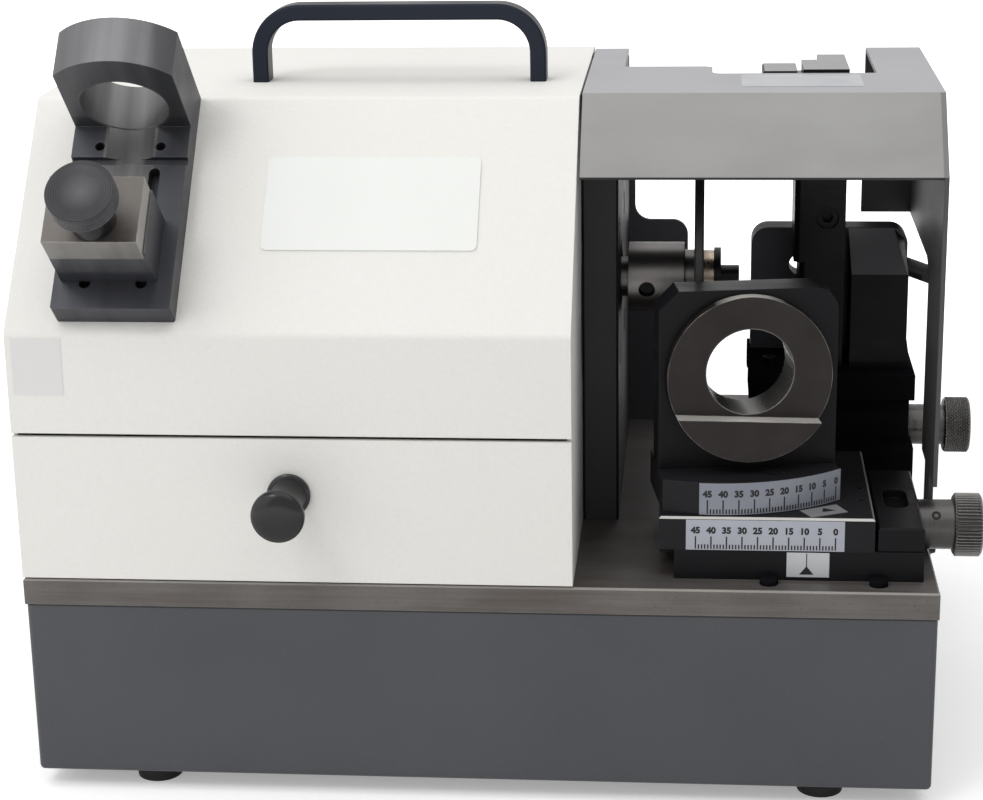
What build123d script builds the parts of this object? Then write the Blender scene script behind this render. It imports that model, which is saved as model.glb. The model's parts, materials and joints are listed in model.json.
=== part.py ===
from build123d import *
import math
import os

# Tap grinder. Sizes are in millimetres. Places on the machine are measured from the
# base plate's front left top corner: x to the right, y to the rear, z up.

# Bore shared by the tap holder and the setter
chuck_bore = 28.6

# Fits
seat = 0.03
running = 0.05
sliding = 0.1

# Base
plate_length = 299.4
plate_depth = 218.0
plate_thickness = 9.0
plate_chamfer = 0.6
box_inset = 0.3
box_height = 60.6
box_wall = 1.5
box_fold = 1.8
foot_diameter = 16.8
foot_height = 6.2
foot_taper = 8.0
foot_stud = 5.0
foot_stud_grip = 3.0
foot_left = 38.7
foot_right = 36.0
foot_inset = 14.0

# White housing
sheet = 1.5
fold_height = 84.0
fold_radius = 3.0
roof_height = 150.0
roof_front = 59.0
roof_rear = 172.0
drawer_height = 49.35
drawer_reveal = 1.2
drawer_lift = 0.5
drawer_front_thickness = 2.0
drawer_back_gap = 0.5
tray_depth = 148.0
tray_height = 31.0
tray_wall = 1.2
runner_flange = 10.0
runner_height = 34.0
left_runner_height = 45.0
runner_clearance = 0.3
bracket_width = 60.0
bracket_leg = 25.0
wall_screw_inset = 12.0
wall_screw_drop = 6.0

# Drawer knob
knob_offset = 0.55
knob_height = 30.8
knob_reach = 24.4
knob_head = 16.6
knob_base = 14.2
knob_waist = 8.6
knob_base_thickness = 2.2
knob_head_thickness = 7.0
knob_lip = 1.0
knob_stud = 4.0

# Carry handle
handle_spacing = 96.0
handle_bar = 5.5
handle_bar_depth = 10.0
handle_rise = 26.5
handle_bend = 14.0
handle_from_right = 15.7
handle_front = 89.0
handle_edge = 1.0
handle_screw = 4.0
handle_screw_grip = 8.0
handle_screw_head = 7.0
handle_screw_head_height = 2.6

# Name plate on the slope
name_plate_width = 70.0
name_plate_height = 34.5
name_plate_thickness = 0.5
name_plate_corner = 2.0
name_plate_share = 0.446
name_plate_low = 30.5

# Setter fixture on the slope: low and high are distances up the slope from the front fold
setter_left = 17.0
setter_width = 38.6
setter_low = 4.4
setter_length = 83.6
setter_thickness = 9.0
setter_chamfer = 0.6
ring_thickness = 16.3
ring_radius = 26.3
ring_axis_above_plate = 12.45
groove_low = 57.0
groove_width = 3.0
groove_depth = 2.0
trough_gap = 0.3
slot_width = 3.7
slot_offset = 9.1
slot_low = 11.8
slot_high = 55.8
slot_depth = 5.0
setter_screw = 3.2
setter_screw_offset = 10.1
setter_screw_place = 64.0
setter_screw_sink = 3.0
setter_screw_grip = 4.0
stop_left = 19.4
stop_width = 31.2
stop_low = 14.3
stop_length = 22.3
stop_height = 19.1
key_length = 20.0
key_end_gap = 1.0
key_depth = 4.5
cap_inset = 0.6
cap_height = 8.1
cap_overhang = 1.0
cap_lip = 2.7
cap_joint = 0.4
cap_step = 8.0
thumb_shank = 6.0
thumb_neck = 14.4
thumb_neck_height = 11.7
thumb_head = 21.8
thumb_head_height = 6.6
thumb_dish_radius = 40.0
thumb_dish_depth = 0.6
thumb_from_edge = 7.5
thumb_from_left = 16.3
thumb_shank_depth = 22.0

# Upright wall and the shield behind the spindle
cover_gap = 1.0
wall_gap = 0.15
guard_sheet = 1.5
upright_thickness = 12.35
upright_front = 65.0
upright_rear = 183.0
upright_chamfer = 0.8
upright_fall_length = 24.0
upright_fall = 5.0
shield_thickness = 2.0
shield_reach = 22.7
shield_height = 81.0
shield_fall = 10.0
shield_strip = 2.3
shield_fillet = 6.0

# Guard hood
guard_top = 151.0
guard_fold = 59.0
guard_lip = 37.7
guard_rear = 158.5
left_arm = 12.1
right_arm = 18.0
notch_shallow = 115.5
notch_deep = 99.6
notch_step = 30.6
notch_radius = 3.0
guard_panel_bottom = 90.0
leg_rear = 78.5
leg_bottom = 23.0
leg_fillet = 10.0
tab_front = 50.0
tab_rear = 66.0
tab_drop = 7.5
flange_front = 72.0
flange_rear = 150.0
flange_bottom = 124.0
flange_screw_inset = 12.0
notch_overcut = 1.0

# Spindle and motor
axis_y = 100.0
axis_z = 79.0
motor_radius = 42.0
stator_length = 108.0
motor_rear_wall = 14.0
bell_length = 15.0
bell_clearance = 1.5
stator_bore = 46.0
rotor_diameter = 45.0
rotor_end_gap = 5.0
shaft_diameter = 14.0
shaft_hole = 20.0
bearing_diameter = 32.0
bearing_width = 9.0
bearing_shoulder = 1.0
arbor_gap = 2.5
arbor_length = 19.6
arbor_diameter = 24.5
arbor_nose = 3.5
arbor_nose_diameter = 19.2
arbor_socket = 14.0
arbor_spigot = 10.0
set_screw = 5.0
set_screw_hole = 5.6
set_screw_sink = 2.5
set_screw_angle = 9.0
wheel_diameter = 100.0
wheel_thickness = 3.2
wheel_bore_gap = 0.6
wheel_flange_thickness = 3.6
wheel_flange_diameter = 18.8
washer_thickness = 2.4
washer_diameter = 20.8
bolt_diameter = 6.0
bolt_head = 8.4
bolt_head_length = 6.4
bolt_socket = 4.0
bolt_socket_depth = 3.0
bolt_grip = 12.0

# Screws
m5_shank = 5.0
m5_head = 8.5
m5_head_length = 5.0
m5_sink = 5.2
m5_socket = 4.0
m5_socket_depth = 2.5
m5_thread = 10.0
motor_screw_circle = 62.0
upright_screw_inset = 20.0
m4_shank = 4.0
m4_head = 7.4
m4_head_length = 2.2
m4_thread = 5.0
flat_head = 7.0
flat_head_depth = 1.45
flat_thread = 5.0

# Front station
station_front = 10.0
station_inset = 4.5
slide_under_wheel = 5.6
slide_base_length = 80.5
slide_base_depth = 70.0
slide_base_height = 10.0
pin_diameter = 6.0
pin_height = 2.1
pin_sink = 5.0
pin_left = 30.7
pin_spacing = 35.2
pin_gap = 0.1
end_block_length = 14.9
end_block_setback = 0.7
end_block_depth = 59.3
end_block_height = 8.0
pocket_width = 8.0
pocket_length = 18.7
pocket_depth = 3.0
feed_y = 40.0
feed_z = 9.2
feed_diameter = 8.0
feed_tail = 3.0
collar_gap = 0.2
collar_relief = 0.5
front_collar_diameter = 16.6
front_collar_length = 11.5
front_knob_diameter = 21.2
front_knob_length = 9.4
knurl_count = 54
knurl_depth = 0.5
knob_chamfer = 0.8
slide_gap = 1.1
cross_slide_length = 69.5
cross_slide_depth = 71.0
cross_slide_height = 11.3
cross_slide_chamfer = 0.7
tongue_top = 28.0
tongue_bottom = 34.0
tongue_depth = 6.0
tongue_floor_gap = 0.3
channel_width = 10.0
channel_roof = 4.4
nut_length = 16.0
nut_left = 26.0
nut_roof = 1.6
slide_hole = 2.2
slide_hole_inset = 3.4
slide_hole_front = 19.0
slide_hole_step = 12.0

# Swivel base, tap holder and index ring: measured from the pivot, turned by the rest angle
pivot_from_slide = 18.5
pivot_from_front = 59.0
pivot_diameter = 10.0
pivot_floor = 3.0
swivel_rest = 8.5
swivel_radius = 57.3
swivel_height = 11.2
swivel_boss = 11.0
swivel_waist = 20.0
lock_screw = 4.0
lock_head = 7.2
lock_head_sink = 3.0
lock_radius = 50.0
lock_angle = 13.0
lock_socket = 3.0
lock_socket_depth = 1.6
holder_left = -25.25
holder_width = 58.5
holder_reach = 40.7
holder_thickness = 12.7
holder_height = 59.8
holder_chamfer = 6.4
holder_round = 8.0
holder_screw = 5.0
holder_screw_head = 8.5
holder_screw_head_length = 4.0
holder_screw_grip = 8.0
holder_screw_inset = 14.0
index_rise = 31.3
index_turn = 3.3
bore_lift = 2.0
index_diameter = 54.0
index_spigot = 38.0
index_seat_depth = 4.0
index_proud = 4.0
ledge_drop = 13.2
ledge_depth = 5.3

# Rear station
rear_inset = 2.0
rear_length = 58.0
rear_front = 88.0
rear_depth = 52.0
rear_base_height = 20.0
rail_inset = 1.5
rail_left = 1.0
rail_front = 6.0
rail_depth = 38.0
rail_height = 17.0
dovetail_front = 24.0
dovetail_top = 16.0
dovetail_flare = 2.0
dovetail_height = 5.0
rear_slide_front = 2.0
rear_slide_depth = 48.0
rear_slide_height = 9.0
rear_feed_y = 104.0
rear_feed_z = 24.0
rear_slot_width = 11.0
rear_slot_left = 10.0
rear_slot_length = 26.0
rear_slot_floor = 1.7
rear_nut_length = 12.0
rear_nut_left = 19.0
rear_collar_diameter = 14.4
rear_collar_length = 12.8
rear_knob_diameter = 19.8
rear_knob_length = 9.0
rear_plate_left = 1.0
rear_plate_width = 55.8
rear_plate_front = 125.0
rear_plate_thickness = 10.5
rear_plate_top = 91.2
rear_plate_corner = 6.0
rear_hole = 8.0
rear_hole_x = 17.6
rear_hole_z = 77.5
column_left = 17.3
column_width = 15.7
column_front = 101.0
column_top = 148.0
column_chamfer = 1.8
shoulder_width = 2.0
shoulder_z = 84.0
cap_plate_height = 4.0
cap_plate_notch = 6.0
cap_plate_notch_depth = 12.0
column_screw_diameter = 7.8
column_screw_z = 99.9
column_screw_depth = 6.0
column_screw_sink = 1.2
column_screw_socket = 4.0
arm_reach = 13.8
arm_front = 3.0
arm_depth = 18.0
arm_height = 8.0
arm_top = 151.0
side_gap = 2.5
side_box_width = 19.8
side_box_bevel = 3.5
side_box_bevel_end = 0.3
side_box_front = 100.0
side_box_low = 80.0
side_box_high = 91.0
side_foot = 1.7
side_foot_height = 11.0
lever_y = 117.0
lever_z = 79.2
lever_rod = 6.4
lever_sink = 4.0
lever_length = 11.0
lever_drop = 20.0
lever_flat = 1.0
lever_flat_length = 4.0

# Mains inlet and switch on the rear of the base box
panel_z = -36.0
inlet_from_right = 50.0
inlet_flange_width = 31.0
inlet_flange_height = 25.0
inlet_flange_thickness = 2.5
inlet_width = 27.0
inlet_height = 19.6
inlet_depth = 24.0
inlet_recess_width = 24.0
inlet_recess_height = 16.4
inlet_recess_depth = 16.0
inlet_pin_width = 2.0
inlet_pin_height = 4.0
inlet_pin_length = 10.0
inlet_pin_spacing = 7.0
inlet_pin_rise = 3.0
switch_spacing = 50.0
switch_frame_width = 21.0
switch_frame_height = 25.0
switch_frame_thickness = 2.5
switch_body_width = 18.6
switch_body_height = 21.6
switch_body_depth = 16.0
switch_well = 11.0
rocker_width = 14.0
rocker_half = 7.0
rocker_round = 7.6
rocker_valley = 2.4
rocker_crest = 4.2
rocker_back = 4.0
rocker_gap = 0.6
rocker_sink = 1.0
rocker_tilt = 8.0

# Worked-out places
slope_ratio = (roof_height - fold_height) / roof_front
slope_angle = math.atan(slope_ratio)
rear_fold = roof_height - (plate_depth - roof_rear) * slope_ratio
spindle_reach = arbor_gap + arbor_length + arbor_nose
upright_space = wall_gap + upright_thickness
station_space = slide_base_length + station_inset - slide_under_wheel
housing_width = plate_length - upright_space - spindle_reach - station_space
foot_spacing = plate_length - foot_left - foot_right
knob_x = housing_width / 2 - knob_offset
handle_left = housing_width - handle_from_right - handle_spacing
setter_right = setter_left + setter_width
name_plate_room = housing_width - setter_right - name_plate_width
name_plate_left = setter_right + name_plate_room * name_plate_share
inlet_x = plate_length - inlet_from_right
switch_x = inlet_x - switch_spacing
setter_centre = setter_left + setter_width / 2
setter_high = setter_low + setter_length
ring_low = setter_high - ring_thickness
ring_axis = setter_thickness + ring_axis_above_plate
cap_floor = setter_thickness + stop_height + cap_joint
cap_roof = cap_floor + cap_height
cap_left = stop_left + cap_inset
cap_width = stop_width - 2 * cap_inset
thumb_x = stop_left + thumb_from_left
thumb_place = stop_low - cap_overhang + thumb_from_edge
guard_left = housing_width + cover_gap
guard_right = plate_length + guard_sheet
guard_lip_z = guard_top - (guard_fold - guard_lip) * slope_ratio
flange_right = guard_left + guard_sheet
upright_left = housing_width + wall_gap
upright_right = upright_left + upright_thickness
upright_top = guard_top - guard_sheet
shield_top = upright_top - shield_fall
upright_middle = upright_left + upright_thickness / 2
bell_left = upright_left - bell_length
motor_rear = bell_left - stator_length
arbor_left = upright_right + arbor_gap
nose_left = arbor_left + arbor_length
wheel_left = nose_left + arbor_nose
flange_left = wheel_left + wheel_thickness
washer_left = flange_left + wheel_flange_thickness
bolt_left = washer_left + washer_thickness
slide_base_right = plate_length - station_inset
slide_base_left = slide_base_right - slide_base_length
end_block_left = slide_base_right - end_block_length
cross_slide_right = end_block_left - slide_gap
cross_slide_left = cross_slide_right - cross_slide_length
cross_slide_top = slide_base_height + cross_slide_height
swivel_top = cross_slide_top + swivel_height
pivot_x = cross_slide_left + pivot_from_slide
pivot_y = station_front + pivot_from_front
front_collar_left = slide_base_right + collar_gap
front_knob_left = front_collar_left + front_collar_length
rear_right = plate_length - rear_inset
rear_left = rear_right - rear_length
rail_right = rear_right - rail_inset
rail_top = rear_base_height + rail_height
rear_slide_top = rail_top + rear_slide_height
dovetail_y = rear_front + dovetail_front
rear_collar_left = rail_right + collar_gap
rear_knob_left = rear_collar_left + rear_collar_length
right_end = rear_knob_left + rear_knob_length
box_rear = plate_depth - box_inset
tilt = math.radians(rocker_tilt)
rocker_reach = rocker_crest * math.cos(tilt) + rocker_half * math.sin(tilt)
rear_end = box_rear - rocker_sink + rocker_reach
thumb_neck_foot = cap_roof + sliding
thumb_top = thumb_neck_foot + thumb_neck_height + thumb_head_height
thumb_low = thumb_place - thumb_head / 2
front_end = thumb_top * math.sin(slope_angle) - thumb_low * math.cos(slope_angle)
swing = math.radians(swivel_rest)
tray_left = sheet + sheet + runner_clearance
tray_width = housing_width - 2 * tray_left
tray_floor = sheet + runner_clearance

# The frame stands on the floor under the middle of the whole machine
bench_x = -right_end / 2
bench_y = (front_end - rear_end) / 2
bench_z = foot_height + box_height + plate_thickness
low_corner = (Align.MIN, Align.MIN)

os.makedirs("parts", exist_ok=True)


# Horizontal plane at a height, vertical plane facing the front, vertical plane facing right
def level(z):
    return Plane((bench_x, bench_y, bench_z + z))


def facing(y):
    return Plane((bench_x, bench_y + y, bench_z), x_dir=(1, 0, 0), z_dir=(0, -1, 0))


def across(x):
    return Plane((bench_x + x, bench_y, bench_z), x_dir=(0, 1, 0), z_dir=(1, 0, 0))


# Planes on the housing's slope: flat on it, and standing across it
def on_slope(height):
    rise = Vector(0, -math.sin(slope_angle), math.cos(slope_angle))
    fold = Vector(bench_x, bench_y, bench_z + fold_height)
    return Plane(fold + rise * height, x_dir=(1, 0, 0), z_dir=rise)


def up_slope(distance):
    run = Vector(0, math.cos(slope_angle), math.sin(slope_angle))
    fold = Vector(bench_x, bench_y, bench_z + fold_height)
    return Plane(fold + run * distance, x_dir=(1, 0, 0), z_dir=-run)


# Planes that turn with the swivel base, about the pivot
def swivel_level(z):
    heading = (math.cos(swing), math.sin(swing), 0)
    return Plane((bench_x + pivot_x, bench_y + pivot_y, bench_z + z), x_dir=heading)


def swivel_facing(back):
    heading = Vector(math.cos(swing), math.sin(swing), 0)
    rearward = Vector(-math.sin(swing), math.cos(swing), 0)
    pivot = Vector(bench_x + pivot_x, bench_y + pivot_y, bench_z)
    return Plane(pivot + rearward * back, x_dir=heading, z_dir=-rearward)


# Places of repeated pieces
foot_places = [
    (foot_left + column * foot_spacing, foot_inset + row * (plate_depth - 2 * foot_inset))
    for column in (0, 1)
    for row in (0, 1)
]
pin_places = [
    (slide_base_left + pin_left + step * pin_spacing, station_front - pin_diameter / 2 - pin_gap)
    for step in (0, 1)
]
handle_places = [
    (handle_left + step * handle_spacing, handle_front + handle_bar_depth / 2) for step in (0, 1)
]
setter_screw_places = [
    (setter_centre + side * setter_screw_offset, setter_screw_place) for side in (-1, 1)
]
upright_screw_places = [
    (upright_middle, upright_front + upright_screw_inset),
    (upright_middle, (upright_front + upright_rear) / 2),
    (upright_middle, upright_rear - upright_screw_inset),
]
holder_screw_places = [
    (holder_left + holder_screw_inset, holder_thickness / 2 - holder_reach),
    (holder_left + holder_width - holder_screw_inset, holder_thickness / 2 - holder_reach),
]
left_wall_screw_z = left_runner_height - wall_screw_drop
left_wall_screws = [
    (roof_front * 0.75, left_wall_screw_z),
    (roof_rear - wall_screw_inset, left_wall_screw_z),
]
rear_wall_screws = [
    (housing_width / 2 + side * bracket_width / 4, bracket_leg / 2) for side in (-1, 1)
]
guard_flange_screws = [
    (flange_front + flange_screw_inset, (flange_bottom + upright_top) / 2),
    (flange_rear - flange_screw_inset, (flange_bottom + upright_top) / 2),
]
flat_screw_seats = [
    *[across(0) * Location((y, z, 0), (180, 0, 0)) for y, z in left_wall_screws],
    *[facing(plate_depth) * Location((x, z, 0), (0, 180, 0)) for x, z in rear_wall_screws],
    *[across(guard_left) * Location((y, z, 0), (180, 0, 0)) for y, z in guard_flange_screws],
]
shield_screw_places = [(upright_middle, shield_height / 4), (upright_middle, shield_height * 3 / 4)]
tab_screw_place = ((tab_front + tab_rear) / 2, -plate_thickness / 2)

# Base box: folded sheet, open at the top, with cut-outs for the feet, inlet and switch
with BuildPart() as base_box:
    with BuildSketch(level(-plate_thickness)):
        with Locations((box_inset, box_inset)):
            Rectangle(plate_length - 2 * box_inset, plate_depth - 2 * box_inset, align=low_corner)
    extrude(amount=-box_height)
    fillet(base_box.edges().filter_by(Axis.Z), box_fold)
    fillet(base_box.faces().sort_by(Axis.Z)[0].edges(), box_fold)
    offset(amount=-box_wall, openings=base_box.faces().sort_by(Axis.Z)[-1])
    with BuildSketch(level(-plate_thickness - box_height)):
        with Locations(*foot_places):
            Circle(foot_stud / 2 + seat)
    extrude(amount=box_wall, mode=Mode.SUBTRACT)
    with BuildSketch(facing(box_rear)):
        with Locations((inlet_x, panel_z)):
            Rectangle(inlet_width + 2 * seat, inlet_height + 2 * seat)
        with Locations((switch_x, panel_z)):
            Rectangle(switch_body_width + 2 * seat, switch_body_height + 2 * seat)
    extrude(amount=box_wall, mode=Mode.SUBTRACT)

# Base plate: thick ground steel
with BuildPart() as base_plate:
    with BuildSketch(level(0)):
        Rectangle(plate_length, plate_depth, align=low_corner)
    extrude(amount=-plate_thickness)
    chamfer(base_plate.faces().sort_by(Axis.Z)[-1].edges(), plate_chamfer)
    with BuildSketch(level(0)):
        with Locations(*pin_places):
            Circle(pin_diameter / 2 + seat)
    extrude(amount=-pin_sink, mode=Mode.SUBTRACT)
    with BuildSketch(level(0)):
        with Locations(*upright_screw_places):
            Circle(m5_shank / 2 + seat)
    extrude(amount=-plate_thickness, mode=Mode.SUBTRACT)
    with BuildSketch(across(plate_length)):
        with Locations(tab_screw_place):
            Circle(m4_shank / 2 + seat)
    extrude(amount=-m4_thread, mode=Mode.SUBTRACT)

# Rubber feet with moulded studs
with BuildPart() as rubber_feet:
    with BuildSketch(level(-plate_thickness - box_height)):
        with Locations(*foot_places):
            Circle(foot_diameter / 2)
    extrude(amount=-foot_height, taper=foot_taper)
    with BuildSketch(level(-plate_thickness - box_height)):
        with Locations(*foot_places):
            Circle(foot_stud / 2)
    extrude(amount=box_wall + foot_stud_grip)

# Housing cover: one folded shell, open below and behind the drawer front
with BuildPart() as housing_cover:
    with BuildSketch(across(0)):
        with BuildLine():
            Polyline(
                (0, 0),
                (0, fold_height),
                (roof_front, roof_height),
                (roof_rear, roof_height),
                (plate_depth, rear_fold),
                (plate_depth, 0),
                close=True,
            )
        make_face()
    extrude(amount=housing_width)
    long_edges = housing_cover.edges().filter_by(Axis.X).group_by(Axis.Z)
    fillet([edge for row in long_edges[1:] for edge in row], fold_radius)
    offset(amount=-sheet, openings=housing_cover.faces().sort_by(Axis.Z)[0])
    with BuildSketch(level(0)):
        Rectangle(housing_width, drawer_front_thickness + drawer_back_gap, align=low_corner)
    extrude(amount=drawer_height + drawer_reveal, mode=Mode.SUBTRACT)
    with BuildSketch(across(housing_width)):
        with Locations((axis_y, axis_z)):
            Circle(motor_radius + bell_clearance)
    extrude(amount=-sheet, mode=Mode.SUBTRACT)
    with BuildSketch(level(roof_height)):
        with Locations(*handle_places):
            Circle(handle_screw / 2 + seat)
    extrude(amount=-sheet, mode=Mode.SUBTRACT)
    with BuildSketch(on_slope(0)):
        with Locations(*setter_screw_places):
            Circle(setter_screw / 2 + seat)
    extrude(amount=-sheet, mode=Mode.SUBTRACT)
    for place in flat_screw_seats[:4]:
        with BuildSketch(place):
            Circle(flat_head / 2 + seat)
        extrude(amount=-sheet, taper=45, mode=Mode.SUBTRACT)

# Rear bracket: an angle that ties the cover's rear wall to the plate
with BuildPart() as cover_bracket:
    with BuildSketch(level(0)):
        with Locations((housing_width / 2 - bracket_width / 2, plate_depth - sheet - bracket_leg)):
            Rectangle(bracket_width, bracket_leg, align=low_corner)
    extrude(amount=sheet)
    with BuildSketch(facing(plate_depth - sheet)):
        with Locations((housing_width / 2 - bracket_width / 2, 0)):
            Rectangle(bracket_width, bracket_leg, align=low_corner)
    extrude(amount=2 * sheet)
    for place in flat_screw_seats[2:4]:
        with BuildSketch(place):
            Circle(m4_shank / 2 + seat)
        extrude(amount=-3 * sheet - flat_thread, mode=Mode.SUBTRACT)

# Drawer runners: two angles on the plate along the side walls
with BuildPart() as drawer_runners:
    for wall, reach, rise in ((sheet, 1, left_runner_height), (housing_width - sheet, -1, runner_height)):
        far = wall + reach * runner_flange
        back = wall + reach * sheet
        with BuildSketch(level(0)):
            with Locations((min(wall, far), roof_front / 4)):
                Rectangle(runner_flange, tray_depth - roof_front / 4, align=low_corner)
        extrude(amount=sheet)
        with BuildSketch(level(0)):
            with Locations((min(wall, back), roof_front / 4)):
                Rectangle(sheet, plate_depth - roof_front / 2, align=low_corner)
        extrude(amount=rise)
    with BuildSketch(across(sheet)):
        with Locations(*left_wall_screws):
            Circle(m4_shank / 2 + seat)
    extrude(amount=sheet, mode=Mode.SUBTRACT)

# Drawer: front panel, tray and knob
with BuildPart() as drawer_front:
    with BuildSketch(facing(0)):
        with Locations((0, drawer_lift)):
            Rectangle(housing_width, drawer_height - drawer_lift, align=low_corner)
    extrude(amount=-drawer_front_thickness)
    with BuildSketch(facing(0)):
        with Locations((knob_x, knob_height)):
            Circle(knob_stud / 2 + seat)
    extrude(amount=-drawer_front_thickness, mode=Mode.SUBTRACT)

with BuildPart() as drawer_tray:
    with BuildSketch(level(tray_floor)):
        with Locations((tray_left, drawer_front_thickness)):
            Rectangle(tray_width, tray_depth, align=low_corner)
    extrude(amount=tray_height)
    offset(amount=-tray_wall, openings=drawer_tray.faces().sort_by(Axis.Z)[-1])
    with BuildSketch(facing(drawer_front_thickness)):
        with Locations((knob_x, knob_height)):
            Circle(knob_stud / 2 + seat)
    extrude(amount=-tray_wall, mode=Mode.SUBTRACT)

with BuildPart() as drawer_knob:
    knob_plane = across(knob_x)
    with BuildSketch(knob_plane):
        with BuildLine():
            head_start = knob_head_thickness - knob_reach
            Polyline(
                (drawer_front_thickness + tray_wall, knob_height),
                (drawer_front_thickness + tray_wall, knob_height + knob_stud / 2),
                (0, knob_height + knob_stud / 2),
                (0, knob_height + knob_base / 2),
                (-knob_base_thickness / 2, knob_height + knob_base / 2),
            )
            Spline(
                (-knob_base_thickness / 2, knob_height + knob_base / 2),
                ((head_start - knob_base_thickness) / 2, knob_height + knob_waist / 2),
                (head_start, knob_height + knob_head / 2 - knob_lip),
            )
            Line(
                (head_start, knob_height + knob_head / 2 - knob_lip),
                (head_start - knob_head_thickness / 5, knob_height + knob_head / 2),
            )
            Spline(
                (head_start - knob_head_thickness / 5, knob_height + knob_head / 2),
                (knob_head_thickness / 3 - knob_reach, knob_height + knob_head * 0.4),
                (-knob_reach, knob_height),
            )
            Line((-knob_reach, knob_height), (drawer_front_thickness + tray_wall, knob_height))
        make_face()
    knob_axis = Axis((knob_plane * Location((0, knob_height, 0))).position, (0, 1, 0))
    revolve(axis=knob_axis)

# Carry handle: flat bar bent at both ends, screwed from under the roof
with BuildPart() as carry_handle:
    with BuildLine(facing(handle_front + handle_bar_depth / 2)) as handle_path:
        FilletPolyline(
            (handle_left, roof_height),
            (handle_left, roof_height + handle_rise - handle_bar / 2),
            (handle_left + handle_spacing, roof_height + handle_rise - handle_bar / 2),
            (handle_left + handle_spacing, roof_height),
            radius=handle_bend,
        )
    with BuildSketch(level(roof_height)):
        with Locations(handle_places[0]):
            RectangleRounded(handle_bar, handle_bar_depth, handle_edge)
    sweep(path=handle_path.line)
    with BuildSketch(level(roof_height)):
        with Locations(*handle_places):
            Circle(handle_screw / 2 + seat)
    extrude(amount=handle_screw_grip, mode=Mode.SUBTRACT)

with BuildPart() as handle_screws:
    with BuildSketch(level(roof_height - sheet)):
        with Locations(*handle_places):
            Circle(handle_screw / 2)
    extrude(amount=sheet + handle_screw_grip - sliding)
    with BuildSketch(level(roof_height - sheet)):
        with Locations(*handle_places):
            Circle(handle_screw_head / 2)
    extrude(amount=-handle_screw_head_height)

# Name plate: a bare plate on the slope
with BuildPart() as name_plate:
    with BuildSketch(on_slope(0)):
        with Locations((name_plate_left + name_plate_width / 2, name_plate_low + name_plate_height / 2)):
            RectangleRounded(name_plate_width, name_plate_height, name_plate_corner)
    extrude(amount=name_plate_thickness)

# Upright wall: carries the motor, the guard and the shield
with BuildPart() as upright:
    with BuildSketch(across(upright_left)):
        with BuildLine():
            Polyline(
                (upright_front, 0),
                (upright_front, upright_top),
                (upright_rear - upright_fall_length, upright_top),
                (upright_rear, upright_top - upright_fall),
                (upright_rear, 0),
                close=True,
            )
        make_face()
    extrude(amount=upright_thickness)
    chamfer(upright.edges().filter_by(Axis.Z).group_by(Axis.Y)[0], upright_chamfer)
    with BuildSketch(across(upright_left)):
        with Locations((axis_y, axis_z)):
            Circle(shaft_hole / 2)
            with PolarLocations(motor_screw_circle / 2, 4, start_angle=45):
                Circle(m5_shank / 2 + seat)
    extrude(amount=upright_thickness, mode=Mode.SUBTRACT)
    with BuildSketch(across(upright_right)):
        with Locations((axis_y, axis_z)):
            with PolarLocations(motor_screw_circle / 2, 4, start_angle=45):
                Circle(m5_head / 2 + sliding)
    extrude(amount=-m5_sink, mode=Mode.SUBTRACT)
    with BuildSketch(level(0)):
        with Locations(*upright_screw_places):
            Circle(m5_shank / 2 + seat)
    extrude(amount=m5_thread, mode=Mode.SUBTRACT)
    with BuildSketch(facing(upright_rear)):
        with Locations(*shield_screw_places):
            Circle(m4_shank / 2 + seat)
    extrude(amount=m4_thread, mode=Mode.SUBTRACT)
    with BuildSketch(across(upright_left)):
        with Locations((flange_front - sliding, flange_bottom - sliding)):
            Rectangle(
                flange_rear - flange_front + 2 * sliding,
                upright_top - flange_bottom + sliding,
                align=low_corner,
            )
    extrude(amount=flange_right - upright_left, mode=Mode.SUBTRACT)
    with BuildSketch(across(flange_right)):
        with Locations(*guard_flange_screws):
            Circle(m4_shank / 2 + seat)
    extrude(amount=flat_thread, mode=Mode.SUBTRACT)

# Rear shield: a stepped plate on the upright's rear edge
with BuildPart() as rear_shield:
    with BuildSketch(facing(upright_rear)):
        with BuildLine():
            Polyline(
                (upright_left, 0),
                (upright_right + shield_reach, 0),
                (upright_right + shield_reach, shield_height),
                (upright_right + shield_strip, shield_height),
                (upright_right + shield_strip, shield_top),
                (upright_left, shield_top),
                close=True,
            )
        make_face()
        step_corner = vertices().sort_by_distance((upright_right + shield_strip, shield_height))[0]
        outer_corner = vertices().sort_by_distance((upright_right + shield_reach, shield_height))[0]
        fillet([step_corner, outer_corner], shield_fillet)
    extrude(amount=-shield_thickness)
    with BuildSketch(facing(upright_rear)):
        with Locations(*shield_screw_places):
            Circle(m4_shank / 2 + seat)
    extrude(amount=-shield_thickness, mode=Mode.SUBTRACT)

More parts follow.
